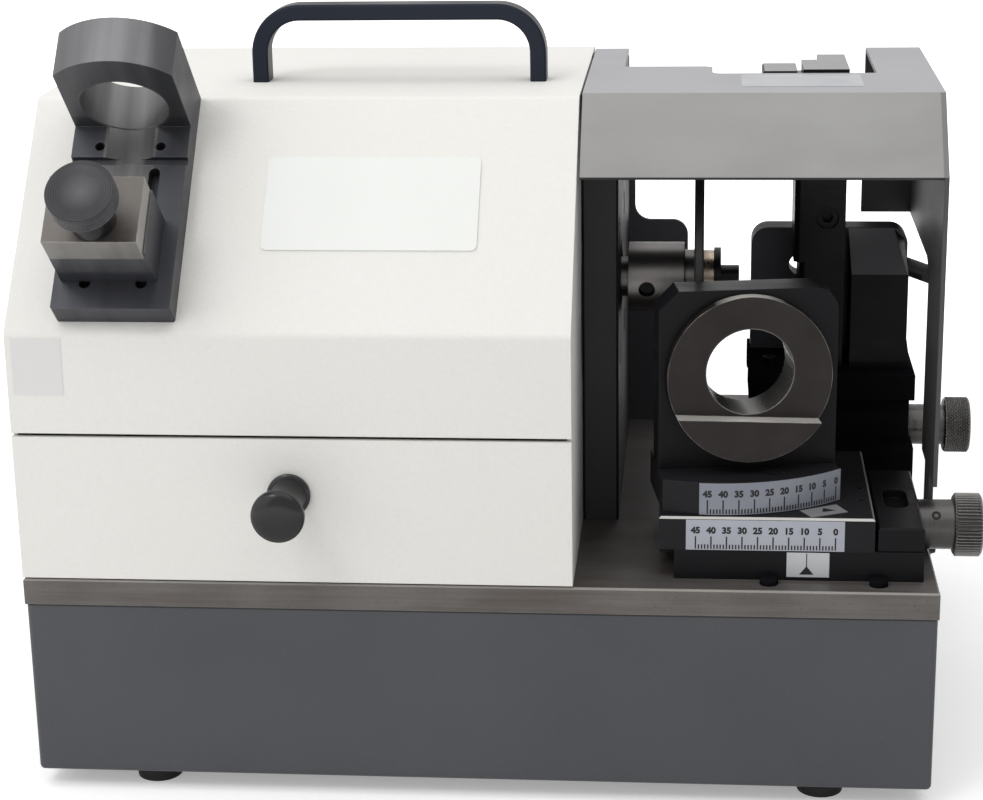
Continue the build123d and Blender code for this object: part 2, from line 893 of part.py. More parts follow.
# Guard hood: folded sheet over the wheel, on the upright at the left and the plate's edge at the right
with BuildPart() as guard_hood:
    with BuildSketch(across(guard_left)):
        with BuildLine():
            fold_in = guard_sheet * math.tan(slope_angle / 2)
            lip_back = guard_sheet * math.sin(slope_angle)
            lip_down = guard_sheet * math.cos(slope_angle)
            Polyline(
                (guard_rear, guard_top),
                (guard_fold, guard_top),
                (guard_lip, guard_lip_z),
                (guard_lip + lip_back, guard_lip_z - lip_down),
                (guard_fold + fold_in, guard_top - guard_sheet),
                (guard_rear, guard_top - guard_sheet),
                close=True,
            )
        make_face()
    extrude(amount=guard_right - guard_left)
    with BuildSketch(level(guard_top)):
        with BuildLine():
            Polyline(
                (guard_left + left_arm, guard_rear + notch_overcut),
                (guard_left + left_arm, notch_shallow),
                (guard_left + notch_step + left_arm, notch_shallow),
                (guard_left + notch_step + left_arm, notch_deep),
                (plate_length - right_arm, notch_deep),
                (plate_length - right_arm, guard_rear + notch_overcut),
                close=True,
            )
        make_face()
        step_top = vertices().sort_by_distance((guard_left + notch_step + left_arm, notch_shallow))[0]
        step_foot = vertices().sort_by_distance((guard_left + notch_step + left_arm, notch_deep))[0]
        fillet([step_top, step_foot], notch_radius)
    extrude(amount=-guard_sheet, mode=Mode.SUBTRACT)
    with BuildSketch(across(plate_length)):
        with BuildLine():
            Polyline(
                (guard_rear, guard_top),
                (guard_fold, guard_top),
                (guard_lip, guard_lip_z),
                (guard_lip, leg_bottom),
                (tab_front, leg_bottom),
                (tab_front, -tab_drop),
                (tab_rear, -tab_drop),
                (tab_rear, leg_bottom),
                (leg_rear, leg_bottom),
                (leg_rear, guard_panel_bottom),
                (guard_rear, guard_panel_bottom),
                close=True,
            )
        make_face()
        knee = vertices().sort_by_distance((leg_rear, guard_panel_bottom))[0]
        fillet(knee, leg_fillet)
    extrude(amount=guard_sheet)
    with BuildSketch(facing(guard_rear)):
        with Locations((plate_length - right_arm, guard_panel_bottom)):
            Rectangle(right_arm, guard_top - guard_panel_bottom, align=low_corner)
    extrude(amount=guard_sheet)
    with BuildSketch(across(guard_left)):
        with Locations((flange_front, flange_bottom)):
            Rectangle(flange_rear - flange_front, guard_top - flange_bottom, align=low_corner)
    extrude(amount=guard_sheet)
    for place in flat_screw_seats[4:]:
        with BuildSketch(place):
            Circle(flat_head / 2 + seat)
        extrude(amount=-guard_sheet, taper=45, mode=Mode.SUBTRACT)
    with BuildSketch(across(plate_length)):
        with Locations(tab_screw_place):
            Circle(m4_shank / 2 + seat)
    extrude(amount=guard_sheet, mode=Mode.SUBTRACT)

# Flat-head screws: cover to runner and bracket, guard to upright
with BuildPart() as m4_flat_screws:
    for place in flat_screw_seats:
        with BuildSketch(place):
            Circle(flat_head / 2)
        extrude(amount=-flat_head_depth, taper=45)
        with BuildSketch(place):
            Circle(m4_shank / 2)
        extrude(amount=-sheet - flat_thread + sliding)

# Pan-head screws: shield to upright, guard's tab to the plate's edge
pan_screw_seats = [
    *[
        facing(upright_rear + shield_thickness) * Location((x, z, 0), (0, 180, 0))
        for x, z in shield_screw_places
    ],
    across(guard_right) * Location((tab_screw_place[0], tab_screw_place[1], 0)),
]
pan_sheets = [shield_thickness, shield_thickness, guard_sheet]
with BuildPart() as m4_pan_screws:
    for place, clamped in zip(pan_screw_seats, pan_sheets):
        with BuildSketch(place):
            Circle(m4_head / 2)
        extrude(amount=m4_head_length, taper=15)
        with BuildSketch(place):
            Circle(m4_shank / 2)
        extrude(amount=-clamped - m4_thread + sliding)

# Cap screws: motor to upright, upright to plate
with BuildPart() as m5_cap_screws:
    with BuildSketch(across(upright_right - m5_sink)):
        with Locations((axis_y, axis_z)):
            with PolarLocations(motor_screw_circle / 2, 4, start_angle=45):
                Circle(m5_head / 2)
    extrude(amount=m5_head_length)
    with BuildSketch(across(upright_right - m5_sink + m5_head_length)):
        with Locations((axis_y, axis_z)):
            with PolarLocations(motor_screw_circle / 2, 4, start_angle=45):
                RegularPolygon(m5_socket / 2, 6)
    extrude(amount=-m5_socket_depth, mode=Mode.SUBTRACT)
    with BuildSketch(across(upright_right - m5_sink)):
        with Locations((axis_y, axis_z)):
            with PolarLocations(motor_screw_circle / 2, 4, start_angle=45):
                Circle(m5_shank / 2)
    extrude(amount=m5_sink - upright_thickness - m5_thread + sliding)
    with BuildSketch(level(-plate_thickness)):
        with Locations(*upright_screw_places):
            Circle(m5_head / 2)
    extrude(amount=-m5_head_length)
    with BuildSketch(level(-plate_thickness)):
        with Locations(*upright_screw_places):
            Circle(m5_shank / 2)
    extrude(amount=plate_thickness + m5_thread - sliding)

# Motor: stator can, front bell on the upright, two bearings, rotor with its shaft
with BuildPart() as motor_stator:
    with BuildSketch(across(motor_rear)):
        with Locations((axis_y, axis_z)):
            Circle(motor_radius)
    extrude(amount=bell_left - motor_rear)
    with BuildSketch(across(bell_left)):
        with Locations((axis_y, axis_z)):
            Circle(stator_bore / 2)
    extrude(amount=motor_rear + motor_rear_wall - bell_left, mode=Mode.SUBTRACT)
    with BuildSketch(across(motor_rear + motor_rear_wall)):
        with Locations((axis_y, axis_z)):
            Circle(bearing_diameter / 2 + seat)
    extrude(amount=-bearing_width - bearing_shoulder, mode=Mode.SUBTRACT)

with BuildPart() as motor_front_bell:
    with BuildSketch(across(bell_left)):
        with Locations((axis_y, axis_z)):
            Circle(motor_radius)
            Circle(shaft_hole / 2, mode=Mode.SUBTRACT)
    extrude(amount=bell_length)
    with BuildSketch(across(bell_left)):
        with Locations((axis_y, axis_z)):
            Circle(bearing_diameter / 2 + seat)
    extrude(amount=bearing_width + bearing_shoulder, mode=Mode.SUBTRACT)
    with BuildSketch(across(upright_left)):
        with Locations((axis_y, axis_z)):
            with PolarLocations(motor_screw_circle / 2, 4, start_angle=45):
                Circle(m5_shank / 2 + seat)
    extrude(amount=-m5_thread, mode=Mode.SUBTRACT)

bearing_starts = [motor_rear + motor_rear_wall - bearing_width, bell_left + bearing_shoulder]
with BuildPart() as motor_bearings:
    for start in bearing_starts:
        with BuildSketch(across(start)):
            with Locations((axis_y, axis_z)):
                Circle(bearing_diameter / 2)
                Circle(shaft_diameter / 2 + running, mode=Mode.SUBTRACT)
        extrude(amount=bearing_width)

with BuildPart() as motor_rotor:
    shaft_left = motor_rear + motor_rear_wall - bearing_width
    with BuildSketch(across(shaft_left)):
        with Locations((axis_y, axis_z)):
            Circle(shaft_diameter / 2)
    extrude(amount=arbor_left + arbor_socket - shaft_left)
    with BuildSketch(across(motor_rear + motor_rear_wall + rotor_end_gap)):
        with Locations((axis_y, axis_z)):
            Circle(rotor_diameter / 2)
    extrude(amount=bell_left - motor_rear - motor_rear_wall - 2 * rotor_end_gap)

# Spindle nose: arbor, set screw, wheel, flange, washer and bolt
set_screw_turn = math.radians(set_screw_angle)
set_screw_plane = Plane(
    (across(arbor_left + arbor_length / 3) * Location((axis_y, axis_z, 0))).position,
    x_dir=(1, 0, 0),
    z_dir=(0, -math.cos(set_screw_turn), -math.sin(set_screw_turn)),
)
with BuildPart() as wheel_arbor:
    with BuildSketch(across(arbor_left)):
        with Locations((axis_y, axis_z)):
            Circle(arbor_diameter / 2)
    extrude(amount=arbor_length)
    with BuildSketch(across(nose_left)):
        with Locations((axis_y, axis_z)):
            Circle(arbor_nose_diameter / 2)
    extrude(amount=arbor_nose)
    with BuildSketch(across(wheel_left)):
        with Locations((axis_y, axis_z)):
            Circle(arbor_spigot / 2)
    extrude(amount=wheel_thickness - sliding)
    with BuildSketch(across(arbor_left)):
        with Locations((axis_y, axis_z)):
            Circle(shaft_diameter / 2 + seat)
    extrude(amount=arbor_socket + sliding, mode=Mode.SUBTRACT)
    with BuildSketch(across(flange_left)):
        with Locations((axis_y, axis_z)):
            Circle(bolt_diameter / 2 + seat)
    extrude(amount=flange_left - bolt_left - bolt_grip + sliding, mode=Mode.SUBTRACT)
    with BuildSketch(set_screw_plane):
        Circle(set_screw_hole / 2)
    extrude(amount=arbor_diameter / 2 + sliding, mode=Mode.SUBTRACT)

with BuildPart() as arbor_set_screw:
    with BuildSketch(set_screw_plane.offset(shaft_diameter / 2 + 2 * seat)):
        Circle(set_screw / 2)
    extrude(amount=(arbor_diameter - shaft_diameter) / 2 - set_screw_sink)
    with BuildSketch(set_screw_plane.offset(arbor_diameter / 2 - set_screw_sink)):
        RegularPolygon(set_screw / 4, 6)
    extrude(amount=-set_screw_sink / 2, mode=Mode.SUBTRACT)

with BuildPart() as grinding_wheel:
    with BuildSketch(across(wheel_left)):
        with Locations((axis_y, axis_z)):
            Circle(wheel_diameter / 2)
            Circle(arbor_spigot / 2 + seat, mode=Mode.SUBTRACT)
    extrude(amount=wheel_thickness)
    chamfer(grinding_wheel.edges().filter_by(GeomType.CIRCLE).group_by(SortBy.RADIUS)[-1], wheel_bore_gap)

with BuildPart() as wheel_flange:
    with BuildSketch(across(flange_left)):
        with Locations((axis_y, axis_z)):
            Circle(wheel_flange_diameter / 2)
            Circle(bolt_diameter / 2 + seat, mode=Mode.SUBTRACT)
    extrude(amount=wheel_flange_thickness)

with BuildPart() as clamp_washer:
    with BuildSketch(across(washer_left)):
        with Locations((axis_y, axis_z)):
            Circle(washer_diameter / 2)
            Circle(bolt_diameter / 2 + seat, mode=Mode.SUBTRACT)
    extrude(amount=washer_thickness)

with BuildPart() as wheel_bolt:
    with BuildSketch(across(bolt_left)):
        with Locations((axis_y, axis_z)):
            Circle(bolt_head / 2)
    extrude(amount=bolt_head_length)
    with BuildSketch(across(bolt_left + bolt_head_length)):
        with Locations((axis_y, axis_z)):
            RegularPolygon(bolt_socket / 2, 6)
    extrude(amount=-bolt_socket_depth, mode=Mode.SUBTRACT)
    with BuildSketch(across(bolt_left)):
        with Locations((axis_y, axis_z)):
            Circle(bolt_diameter / 2)
    extrude(amount=-bolt_grip)

# Front slide base with a dovetail groove, locating pins and the end block
tongue_low = slide_base_height - tongue_depth
tongue_lean = (tongue_bottom - tongue_top) / 2 / tongue_depth
groove_half = tongue_bottom / 2 + sliding + tongue_floor_gap * tongue_lean
with BuildPart() as slide_base:
    with BuildSketch(level(0)):
        with Locations((slide_base_left, station_front)):
            Rectangle(slide_base_length, slide_base_depth, align=low_corner)
    extrude(amount=slide_base_height)
    with BuildSketch(across(slide_base_left)):
        with BuildLine():
            Polyline(
                (feed_y - tongue_top / 2 - sliding, slide_base_height),
                (feed_y - groove_half, tongue_low - tongue_floor_gap),
                (feed_y + groove_half, tongue_low - tongue_floor_gap),
                (feed_y + tongue_top / 2 + sliding, slide_base_height),
                close=True,
            )
        make_face()
    extrude(amount=slide_base_length - end_block_length, mode=Mode.SUBTRACT)
    with BuildSketch(across(slide_base_right)):
        with Locations((feed_y, feed_z)):
            Circle(feed_diameter / 2 + running)
    extrude(amount=-end_block_length, mode=Mode.SUBTRACT)

with BuildPart() as locating_pins:
    with BuildSketch(level(-pin_sink)):
        with Locations(*pin_places):
            Circle(pin_diameter / 2)
    extrude(amount=pin_sink + pin_height)
    chamfer(locating_pins.edges().group_by(Axis.Z)[-1], plate_chamfer)

with BuildPart() as end_block:
    with BuildSketch(level(slide_base_height)):
        with Locations((end_block_left, station_front + end_block_setback)):
            Rectangle(end_block_length, end_block_depth, align=low_corner)
    extrude(amount=end_block_height)
    chamfer(end_block.faces().sort_by(Axis.Z)[-1].edges(), plate_chamfer)
    with BuildSketch(level(slide_base_height + end_block_height)):
        with Locations((end_block_left + end_block_length / 2, feed_y)):
            SlotOverall(pocket_length, pocket_width, rotation=90)
    extrude(amount=-pocket_depth, mode=Mode.SUBTRACT)
    with BuildSketch(across(slide_base_right)):
        with Locations((feed_y, feed_z)):
            Circle(feed_diameter / 2 + running)
    extrude(amount=-end_block_length, mode=Mode.SUBTRACT)

# Front feed: screw with its collar, and the straight-knurled knob
with BuildPart() as front_feed_screw:
    with BuildSketch(across(slide_base_left + feed_tail)):
        with Locations((feed_y, feed_z)):
            Circle(feed_diameter / 2)
    extrude(amount=front_collar_left - slide_base_left - feed_tail)
    with BuildSketch(across(front_collar_left)):
        with Locations((feed_y, feed_z)):
            Circle(front_collar_diameter / 2)
    extrude(amount=front_collar_length)

with BuildPart() as front_knob:
    with BuildSketch(across(front_knob_left)):
        with Locations((feed_y, feed_z)):
            Circle(front_knob_diameter / 2 - knurl_depth)
    extrude(amount=front_knob_length)
    chamfer(front_knob.edges().group_by(Axis.X)[-1], knob_chamfer)
    with BuildSketch(across(front_knob_left + knob_chamfer)):
        with Locations((feed_y, feed_z)):
            Circle(front_knob_diameter / 2 - knurl_depth)
            with PolarLocations(front_knob_diameter / 2 - knurl_depth, knurl_count):
                RegularPolygon(knurl_depth, 4)
    extrude(amount=front_knob_length - 2 * knob_chamfer)

# Cross slide: dovetail tongue below with a channel for the screw and a seat for the nut
channel_top = slide_base_height + channel_roof
with BuildPart() as cross_slide:
    with BuildSketch(level(slide_base_height)):
        with Locations((cross_slide_left, station_front)):
            Rectangle(cross_slide_length, cross_slide_depth, align=low_corner)
    extrude(amount=cross_slide_height)
    chamfer(cross_slide.faces().sort_by(Axis.Z)[-1].edges(), cross_slide_chamfer)
    with BuildSketch(across(cross_slide_left)):
        with BuildLine():
            Polyline(
                (feed_y - tongue_top / 2, slide_base_height),
                (feed_y - tongue_bottom / 2, tongue_low),
                (feed_y + tongue_bottom / 2, tongue_low),
                (feed_y + tongue_top / 2, slide_base_height),
                close=True,
            )
        make_face()
    extrude(amount=cross_slide_length)
    with BuildSketch(across(cross_slide_left)):
        with Locations((feed_y - channel_width / 2, tongue_low)):
            Rectangle(channel_width, channel_top - tongue_low, align=low_corner)
    extrude(amount=cross_slide_length, mode=Mode.SUBTRACT)
    with BuildSketch(level(channel_top)):
        with Locations((cross_slide_left + nut_left, feed_y - channel_width / 2)):
            Rectangle(nut_length, channel_width, align=low_corner)
    extrude(amount=nut_roof, mode=Mode.SUBTRACT)
    with BuildSketch(level(cross_slide_top)):
        with Locations((pivot_x, pivot_y)):
            Circle(pivot_diameter / 2 + seat)
    extrude(amount=pivot_floor - cross_slide_height, mode=Mode.SUBTRACT)
    with BuildSketch(level(cross_slide_top)):
        with Locations((cross_slide_right - slide_hole_inset, station_front + slide_hole_front)):
            Circle(slide_hole / 2)
        with Locations(
            (cross_slide_right - slide_hole_inset, station_front + slide_hole_front + slide_hole_step)
        ):
            Circle(slide_hole / 2)
    extrude(amount=-cross_slide_height / 2, mode=Mode.SUBTRACT)

with BuildPart() as front_feed_nut:
    with BuildSketch(level(tongue_low)):
        with Locations((cross_slide_left + nut_left + seat, feed_y - channel_width / 2 + seat)):
            Rectangle(nut_length - 2 * seat, channel_width - 2 * seat, align=low_corner)
    extrude(amount=channel_top + nut_roof - tongue_low)
    with BuildSketch(across(cross_slide_left)):
        with Locations((feed_y, feed_z)):
            Circle(feed_diameter / 2 + running)
    extrude(amount=cross_slide_length, mode=Mode.SUBTRACT)

with BuildPart() as pivot_pin:
    with BuildSketch(level(slide_base_height + pivot_floor)):
        with Locations((pivot_x, pivot_y)):
            Circle(pivot_diameter / 2)
    extrude(amount=swivel_top - slide_base_height - pivot_floor)
    chamfer(pivot_pin.edges().group_by(Axis.Z)[-1], plate_chamfer)

# Swivel base: round front edge for the degree scale, narrowing to the pivot
holder_right = holder_left + holder_width
lock_turn = math.radians(lock_angle)
lock_place = (lock_radius * math.sin(lock_turn), -lock_radius * math.cos(lock_turn))
with BuildPart() as swivel_base:
    with BuildSketch(swivel_level(cross_slide_top)):
        Circle(swivel_radius)
        with Locations((holder_left, -swivel_waist)):
            Rectangle(
                holder_width, swivel_radius, align=(Align.MIN, Align.MAX), mode=Mode.INTERSECT
            )
        with BuildLine():
            Polyline(
                (holder_left, -swivel_waist),
                (-swivel_boss, 0),
                (swivel_boss, 0),
                (holder_right, -swivel_waist),
                close=True,
            )
        make_face()
        Circle(swivel_boss)
        Circle(pivot_diameter / 2 + running, mode=Mode.SUBTRACT)
    extrude(amount=swivel_height)
    with BuildSketch(swivel_level(swivel_top)):
        with Locations(lock_place):
            Circle(lock_head / 2 + seat)
    extrude(amount=-lock_head_sink, mode=Mode.SUBTRACT)
    with BuildSketch(swivel_level(swivel_top)):
        with Locations(lock_place):
            Circle(lock_screw / 2 + seat)
        with Locations(*holder_screw_places):
            Circle(holder_screw / 2 + seat)
    extrude(amount=-swivel_height, mode=Mode.SUBTRACT)
    with BuildSketch(swivel_level(cross_slide_top)):
        with Locations(*holder_screw_places):
            Circle(holder_screw_head / 2 + seat)
    extrude(amount=holder_screw_head_length + sliding, mode=Mode.SUBTRACT)

with BuildPart() as swivel_lock_screw:
    with BuildSketch(swivel_level(swivel_top - lock_head_sink)):
        with Locations(lock_place):
            Circle(lock_head / 2)
    extrude(amount=lock_head_sink - sliding)
    with BuildSketch(swivel_level(swivel_top - sliding)):
        with Locations(lock_place):
            RegularPolygon(lock_socket / 2, 6)
    extrude(amount=-lock_socket_depth, mode=Mode.SUBTRACT)
    with BuildSketch(swivel_level(swivel_top - lock_head_sink)):
        with Locations(lock_place):
            Circle(lock_screw / 2)
    extrude(amount=lock_head_sink - swivel_height + sliding)

with BuildPart() as holder_screws:
    with BuildSketch(swivel_level(cross_slide_top + sliding)):
        with Locations(*holder_screw_places):
            Circle(holder_screw_head / 2)
    extrude(amount=holder_screw_head_length)
    with BuildSketch(swivel_level(cross_slide_top + sliding)):
        with Locations(*holder_screw_places):
            Circle(holder_screw / 2)
    extrude(amount=swivel_height + holder_screw_grip - 2 * sliding)

# Tap holder block and the steel index ring with its ledge
index_x = holder_left + holder_width / 2
index_z = swivel_top + index_rise
with BuildPart() as holder_block:
    with BuildSketch(swivel_facing(-holder_reach)):
        with Locations((holder_left, swivel_top)):
            Rectangle(holder_width, holder_height, align=low_corner)
        top_corners = vertices().group_by(Axis.Y)[-1].sort_by(Axis.X)
        chamfer(top_corners[0], holder_chamfer)
        fillet(vertices().sort_by_distance((holder_right, swivel_top + holder_height))[0], holder_round)
    extrude(amount=-holder_thickness)
    with BuildSketch(swivel_facing(-holder_reach)):
        with Locations((index_x, index_z)):
            Circle(index_spigot / 2 + seat)
    extrude(amount=-holder_thickness, mode=Mode.SUBTRACT)
    with BuildSketch(swivel_facing(-holder_reach)):
        with Locations((index_x, index_z)):
            Circle(index_diameter / 2 + seat)
    extrude(amount=-index_seat_depth, mode=Mode.SUBTRACT)
    with BuildSketch(swivel_level(swivel_top)):
        with Locations(*holder_screw_places):
            Circle(holder_screw / 2 + seat)
    extrude(amount=holder_screw_grip, mode=Mode.SUBTRACT)

with BuildPart() as index_ring:
    with BuildSketch(swivel_facing(-holder_reach)):
        with Locations((index_x, index_z)):
            Circle(index_spigot / 2)
    extrude(amount=-holder_thickness)
    with BuildSketch(swivel_facing(index_seat_depth - holder_reach)):
        with Locations((index_x, index_z)):
            Circle(index_diameter / 2)
    extrude(amount=index_seat_depth + index_proud)
    with BuildSketch(swivel_facing(-holder_reach - index_proud)):
        with Locations(Location((index_x, index_z, 0), (0, 0, -index_turn))):
            Circle(index_diameter / 2)
            with Locations((0, -ledge_drop)):
                Rectangle(
                    index_diameter, index_diameter, align=(Align.CENTER, Align.MAX), mode=Mode.INTERSECT
                )
    extrude(amount=ledge_depth)
    with BuildSketch(swivel_facing(-holder_reach - index_proud)):
        with Locations((index_x, index_z + bore_lift)):
            Circle(chuck_bore / 2)
    extrude(amount=-holder_thickness - index_proud, mode=Mode.SUBTRACT)

# Rear station: base with a rail, slide on a dovetail, feed screw and knob
dovetail_wide = dovetail_top + 2 * dovetail_flare
with BuildPart() as rear_base:
    with BuildSketch(level(0)):
        with Locations((rear_left, rear_front)):
            Rectangle(rear_length, rear_depth, align=low_corner)
    extrude(amount=rear_base_height)
    with BuildSketch(level(rear_base_height)):
        with Locations((rear_left + rail_left, rear_front + rail_front)):
            Rectangle(rear_length - rail_left - rail_inset, rail_depth, align=low_corner)
    extrude(amount=rail_height)
    with BuildSketch(across(rear_left + rail_left)):
        with BuildLine():
            Polyline(
                (dovetail_y + dovetail_flare, rail_top),
                (dovetail_y, rail_top + dovetail_height),
                (dovetail_y + dovetail_wide, rail_top + dovetail_height),
                (dovetail_y + dovetail_wide - dovetail_flare, rail_top),
                close=True,
            )
        make_face()
    extrude(amount=rear_length - rail_left - rail_inset)
    with BuildSketch(level(rail_top)):
        with Locations((rear_left + rear_slot_left, rear_feed_y - rear_slot_width / 2)):
            Rectangle(rear_slot_length, rear_slot_width, align=low_corner)
    extrude(amount=-rail_height - rear_slot_floor, mode=Mode.SUBTRACT)
    with BuildSketch(across(rail_right)):
        with Locations((rear_feed_y, rear_feed_z)):
            Circle(feed_diameter / 2 + running)
    extrude(amount=rear_left + rail_left + feed_tail - rail_right, mode=Mode.SUBTRACT)
    with BuildSketch(across(rear_right)):
        with Locations((rear_feed_y, rear_feed_z)):
            Circle(rear_collar_diameter / 2 + collar_relief)
    extrude(amount=-rail_inset, mode=Mode.SUBTRACT)

slide_y = rear_front + rear_slide_front
with BuildPart() as rear_slide:
    with BuildSketch(level(rail_top)):
        with Locations((rear_left, slide_y)):
            Rectangle(rear_length, rear_slide_depth, align=low_corner)
    extrude(amount=rear_slide_height)
    with BuildSketch(across(rear_left)):
        with BuildLine():
            Polyline(
                (dovetail_y + dovetail_flare - sliding, rail_top),
                (dovetail_y - sliding, rail_top + dovetail_height + sliding),
                (dovetail_y + dovetail_wide + sliding, rail_top + dovetail_height + sliding),
                (dovetail_y + dovetail_wide - dovetail_flare + sliding, rail_top),
                close=True,
            )
        make_face()
    extrude(amount=rear_length, mode=Mode.SUBTRACT)

with BuildPart() as rear_feed_nut:
    with BuildSketch(level(rail_top)):
        with Locations((rear_left + rear_nut_left, rear_feed_y - rear_slot_width / 2 + 2 * sliding)):
            Rectangle(rear_nut_length, rear_slot_width - 4 * sliding, align=low_corner)
    extrude(amount=-rail_height - rear_slot_floor + 2 * sliding)
    with BuildSketch(across(rear_left)):
        with Locations((rear_feed_y, rear_feed_z)):
            Circle(feed_diameter / 2 + running)
    extrude(amount=rear_length, mode=Mode.SUBTRACT)

with BuildPart() as rear_feed_screw:
    with BuildSketch(across(rear_left + rail_left + 2 * feed_tail)):
        with Locations((rear_feed_y, rear_feed_z)):
            Circle(feed_diameter / 2)
    extrude(amount=rear_collar_left - rear_left - rail_left - 2 * feed_tail)
    with BuildSketch(across(rear_collar_left)):
        with Locations((rear_feed_y, rear_feed_z)):
            Circle(rear_collar_diameter / 2)
    extrude(amount=rear_collar_length)

with BuildPart() as rear_knob:
    with BuildSketch(across(rear_knob_left)):
        with Locations((rear_feed_y, rear_feed_z)):
            Circle(rear_knob_diameter / 2)
    extrude(amount=rear_knob_length)
    chamfer(rear_knob.edges(), knob_chamfer)

# Rear plate, side box, column with its arm, and the clamp rod
with BuildPart() as rear_plate:
    with BuildSketch(facing(rear_plate_front)):
        with Locations((rear_left + rear_plate_left, rear_slide_top)):
            Rectangle(rear_plate_width, rear_plate_top - rear_slide_top, align=low_corner)
        fillet(vertices().group_by(Axis.Y)[-1], rear_plate_corner)
        with Locations((rear_left + rear_plate_left + rear_hole_x, rear_hole_z)):
            Circle(rear_hole / 2, mode=Mode.SUBTRACT)
    extrude(amount=-rear_plate_thickness)

side_box_left = rear_left + column_left + column_width + side_gap
side_box_right = side_box_left + side_box_width
lever_turn = math.radians(lever_drop)
lever_direction = Vector(math.cos(lever_turn), 0, -math.sin(lever_turn))
lever_mouth = (across(side_box_right) * Location((lever_y, lever_z, 0))).position
lever_foot = Plane(lever_mouth - lever_direction * lever_sink, x_dir=(0, 1, 0), z_dir=lever_direction)
with BuildPart() as side_box:
    with BuildSketch(across(side_box_left)):
        with BuildLine():
            Polyline(
                (side_box_front, rear_slide_top),
                (side_box_front, side_box_low),
                (rear_plate_front, side_box_high),
                (rear_plate_front, rear_slide_top),
                close=True,
            )
        make_face()
    extrude(amount=side_box_width)
    with BuildSketch(facing(side_box_front)):
        with BuildLine():
            Polyline(
                (side_box_right, rear_slide_top),
                (side_box_right + side_foot, rear_slide_top),
                (side_box_right, rear_slide_top + side_foot_height),
                close=True,
            )
        make_face()
    extrude(amount=side_box_front - rear_plate_front)
    bevels = (
        (rear_plate_front, side_box_high, side_box_bevel),
        (side_box_front, side_box_low, side_box_bevel_end),
    )
    for depth, top, bevel in bevels:
        with BuildSketch(facing(depth)):
            Polygon(
                (side_box_right - bevel, top),
                (side_box_right, top - bevel),
                (side_box_right + side_foot, top - bevel),
                (side_box_right + side_foot, top + side_foot),
                (side_box_right - bevel, top + side_foot),
                align=None,
            )
    loft(mode=Mode.SUBTRACT)
    with BuildSketch(lever_foot):
        Circle(lever_rod / 2 + running)
    extrude(amount=lever_sink + lever_length, mode=Mode.SUBTRACT)

column_x = rear_left + column_left
cap_plate_rear = rear_plate_front + rear_plate_thickness
with BuildPart() as column:
    with BuildSketch(level(rear_slide_top)):
        with Locations((column_x, column_front)):
            Rectangle(column_width, rear_plate_front - column_front, align=low_corner)
        chamfer(vertices().sort_by_distance((column_x, column_front))[0], column_chamfer)
    extrude(amount=column_top - rear_slide_top)
    with BuildSketch(level(shoulder_z)):
        with Locations((column_x - shoulder_width, column_front)):
            Rectangle(column_width, rear_plate_front - column_front, align=low_corner)
        chamfer(vertices().sort_by_distance((column_x - shoulder_width, column_front))[0], column_chamfer)
    extrude(amount=column_top - shoulder_z)
    with BuildSketch(level(column_top)):
        with Locations((column_x, column_front)):
            Rectangle(column_width, cap_plate_rear - column_front, align=low_corner)
        with Locations((column_x, cap_plate_rear)):
            Rectangle(
                cap_plate_notch,
                cap_plate_notch_depth,
                align=(Align.MIN, Align.MAX),
                mode=Mode.SUBTRACT,
            )
    extrude(amount=cap_plate_height)
    with BuildSketch(facing(column_front)):
        with Locations((column_x + column_width * 0.6, column_screw_z)):
            Circle(column_screw_diameter / 2 + seat)
    extrude(amount=-column_screw_depth, mode=Mode.SUBTRACT)

with BuildPart() as column_screw:
    with BuildSketch(facing(column_front + column_screw_depth)):
        with Locations((column_x + column_width * 0.6, column_screw_z)):
            Circle(column_screw_diameter / 2)
    extrude(amount=column_screw_depth - column_screw_sink)
    with BuildSketch(facing(column_front + column_screw_sink)):
        with Locations((column_x + column_width * 0.6, column_screw_z)):
            RegularPolygon(column_screw_socket / 2, 6)
    extrude(amount=-column_screw_depth / 2, mode=Mode.SUBTRACT)

with BuildPart() as column_arm:
    with BuildSketch(level(arm_top)):
        with Locations((column_x - arm_reach, column_front + arm_front)):
            Rectangle(arm_reach - shoulder_width, arm_depth, align=low_corner)
    extrude(amount=-arm_height)
    chamfer(column_arm.faces().sort_by(Axis.X)[0].edges().filter_by(Axis.Y), plate_chamfer)

with BuildPart() as clamp_lever:
    with BuildSketch(lever_foot.offset(sliding)):
        Circle(lever_rod / 2)
    extrude(amount=lever_sink + lever_length)
    chamfer(clamp_lever.edges().sort_by(Axis.X)[-1], plate_chamfer)
    with BuildSketch(lever_foot.offset(lever_sink + lever_length - lever_flat_length)):
        for side in (-1, 1):
            with Locations((side * lever_rod / 2, 0)):
                Rectangle(2 * lever_flat, lever_rod)
    extrude(amount=2 * lever_flat_length, mode=Mode.SUBTRACT)

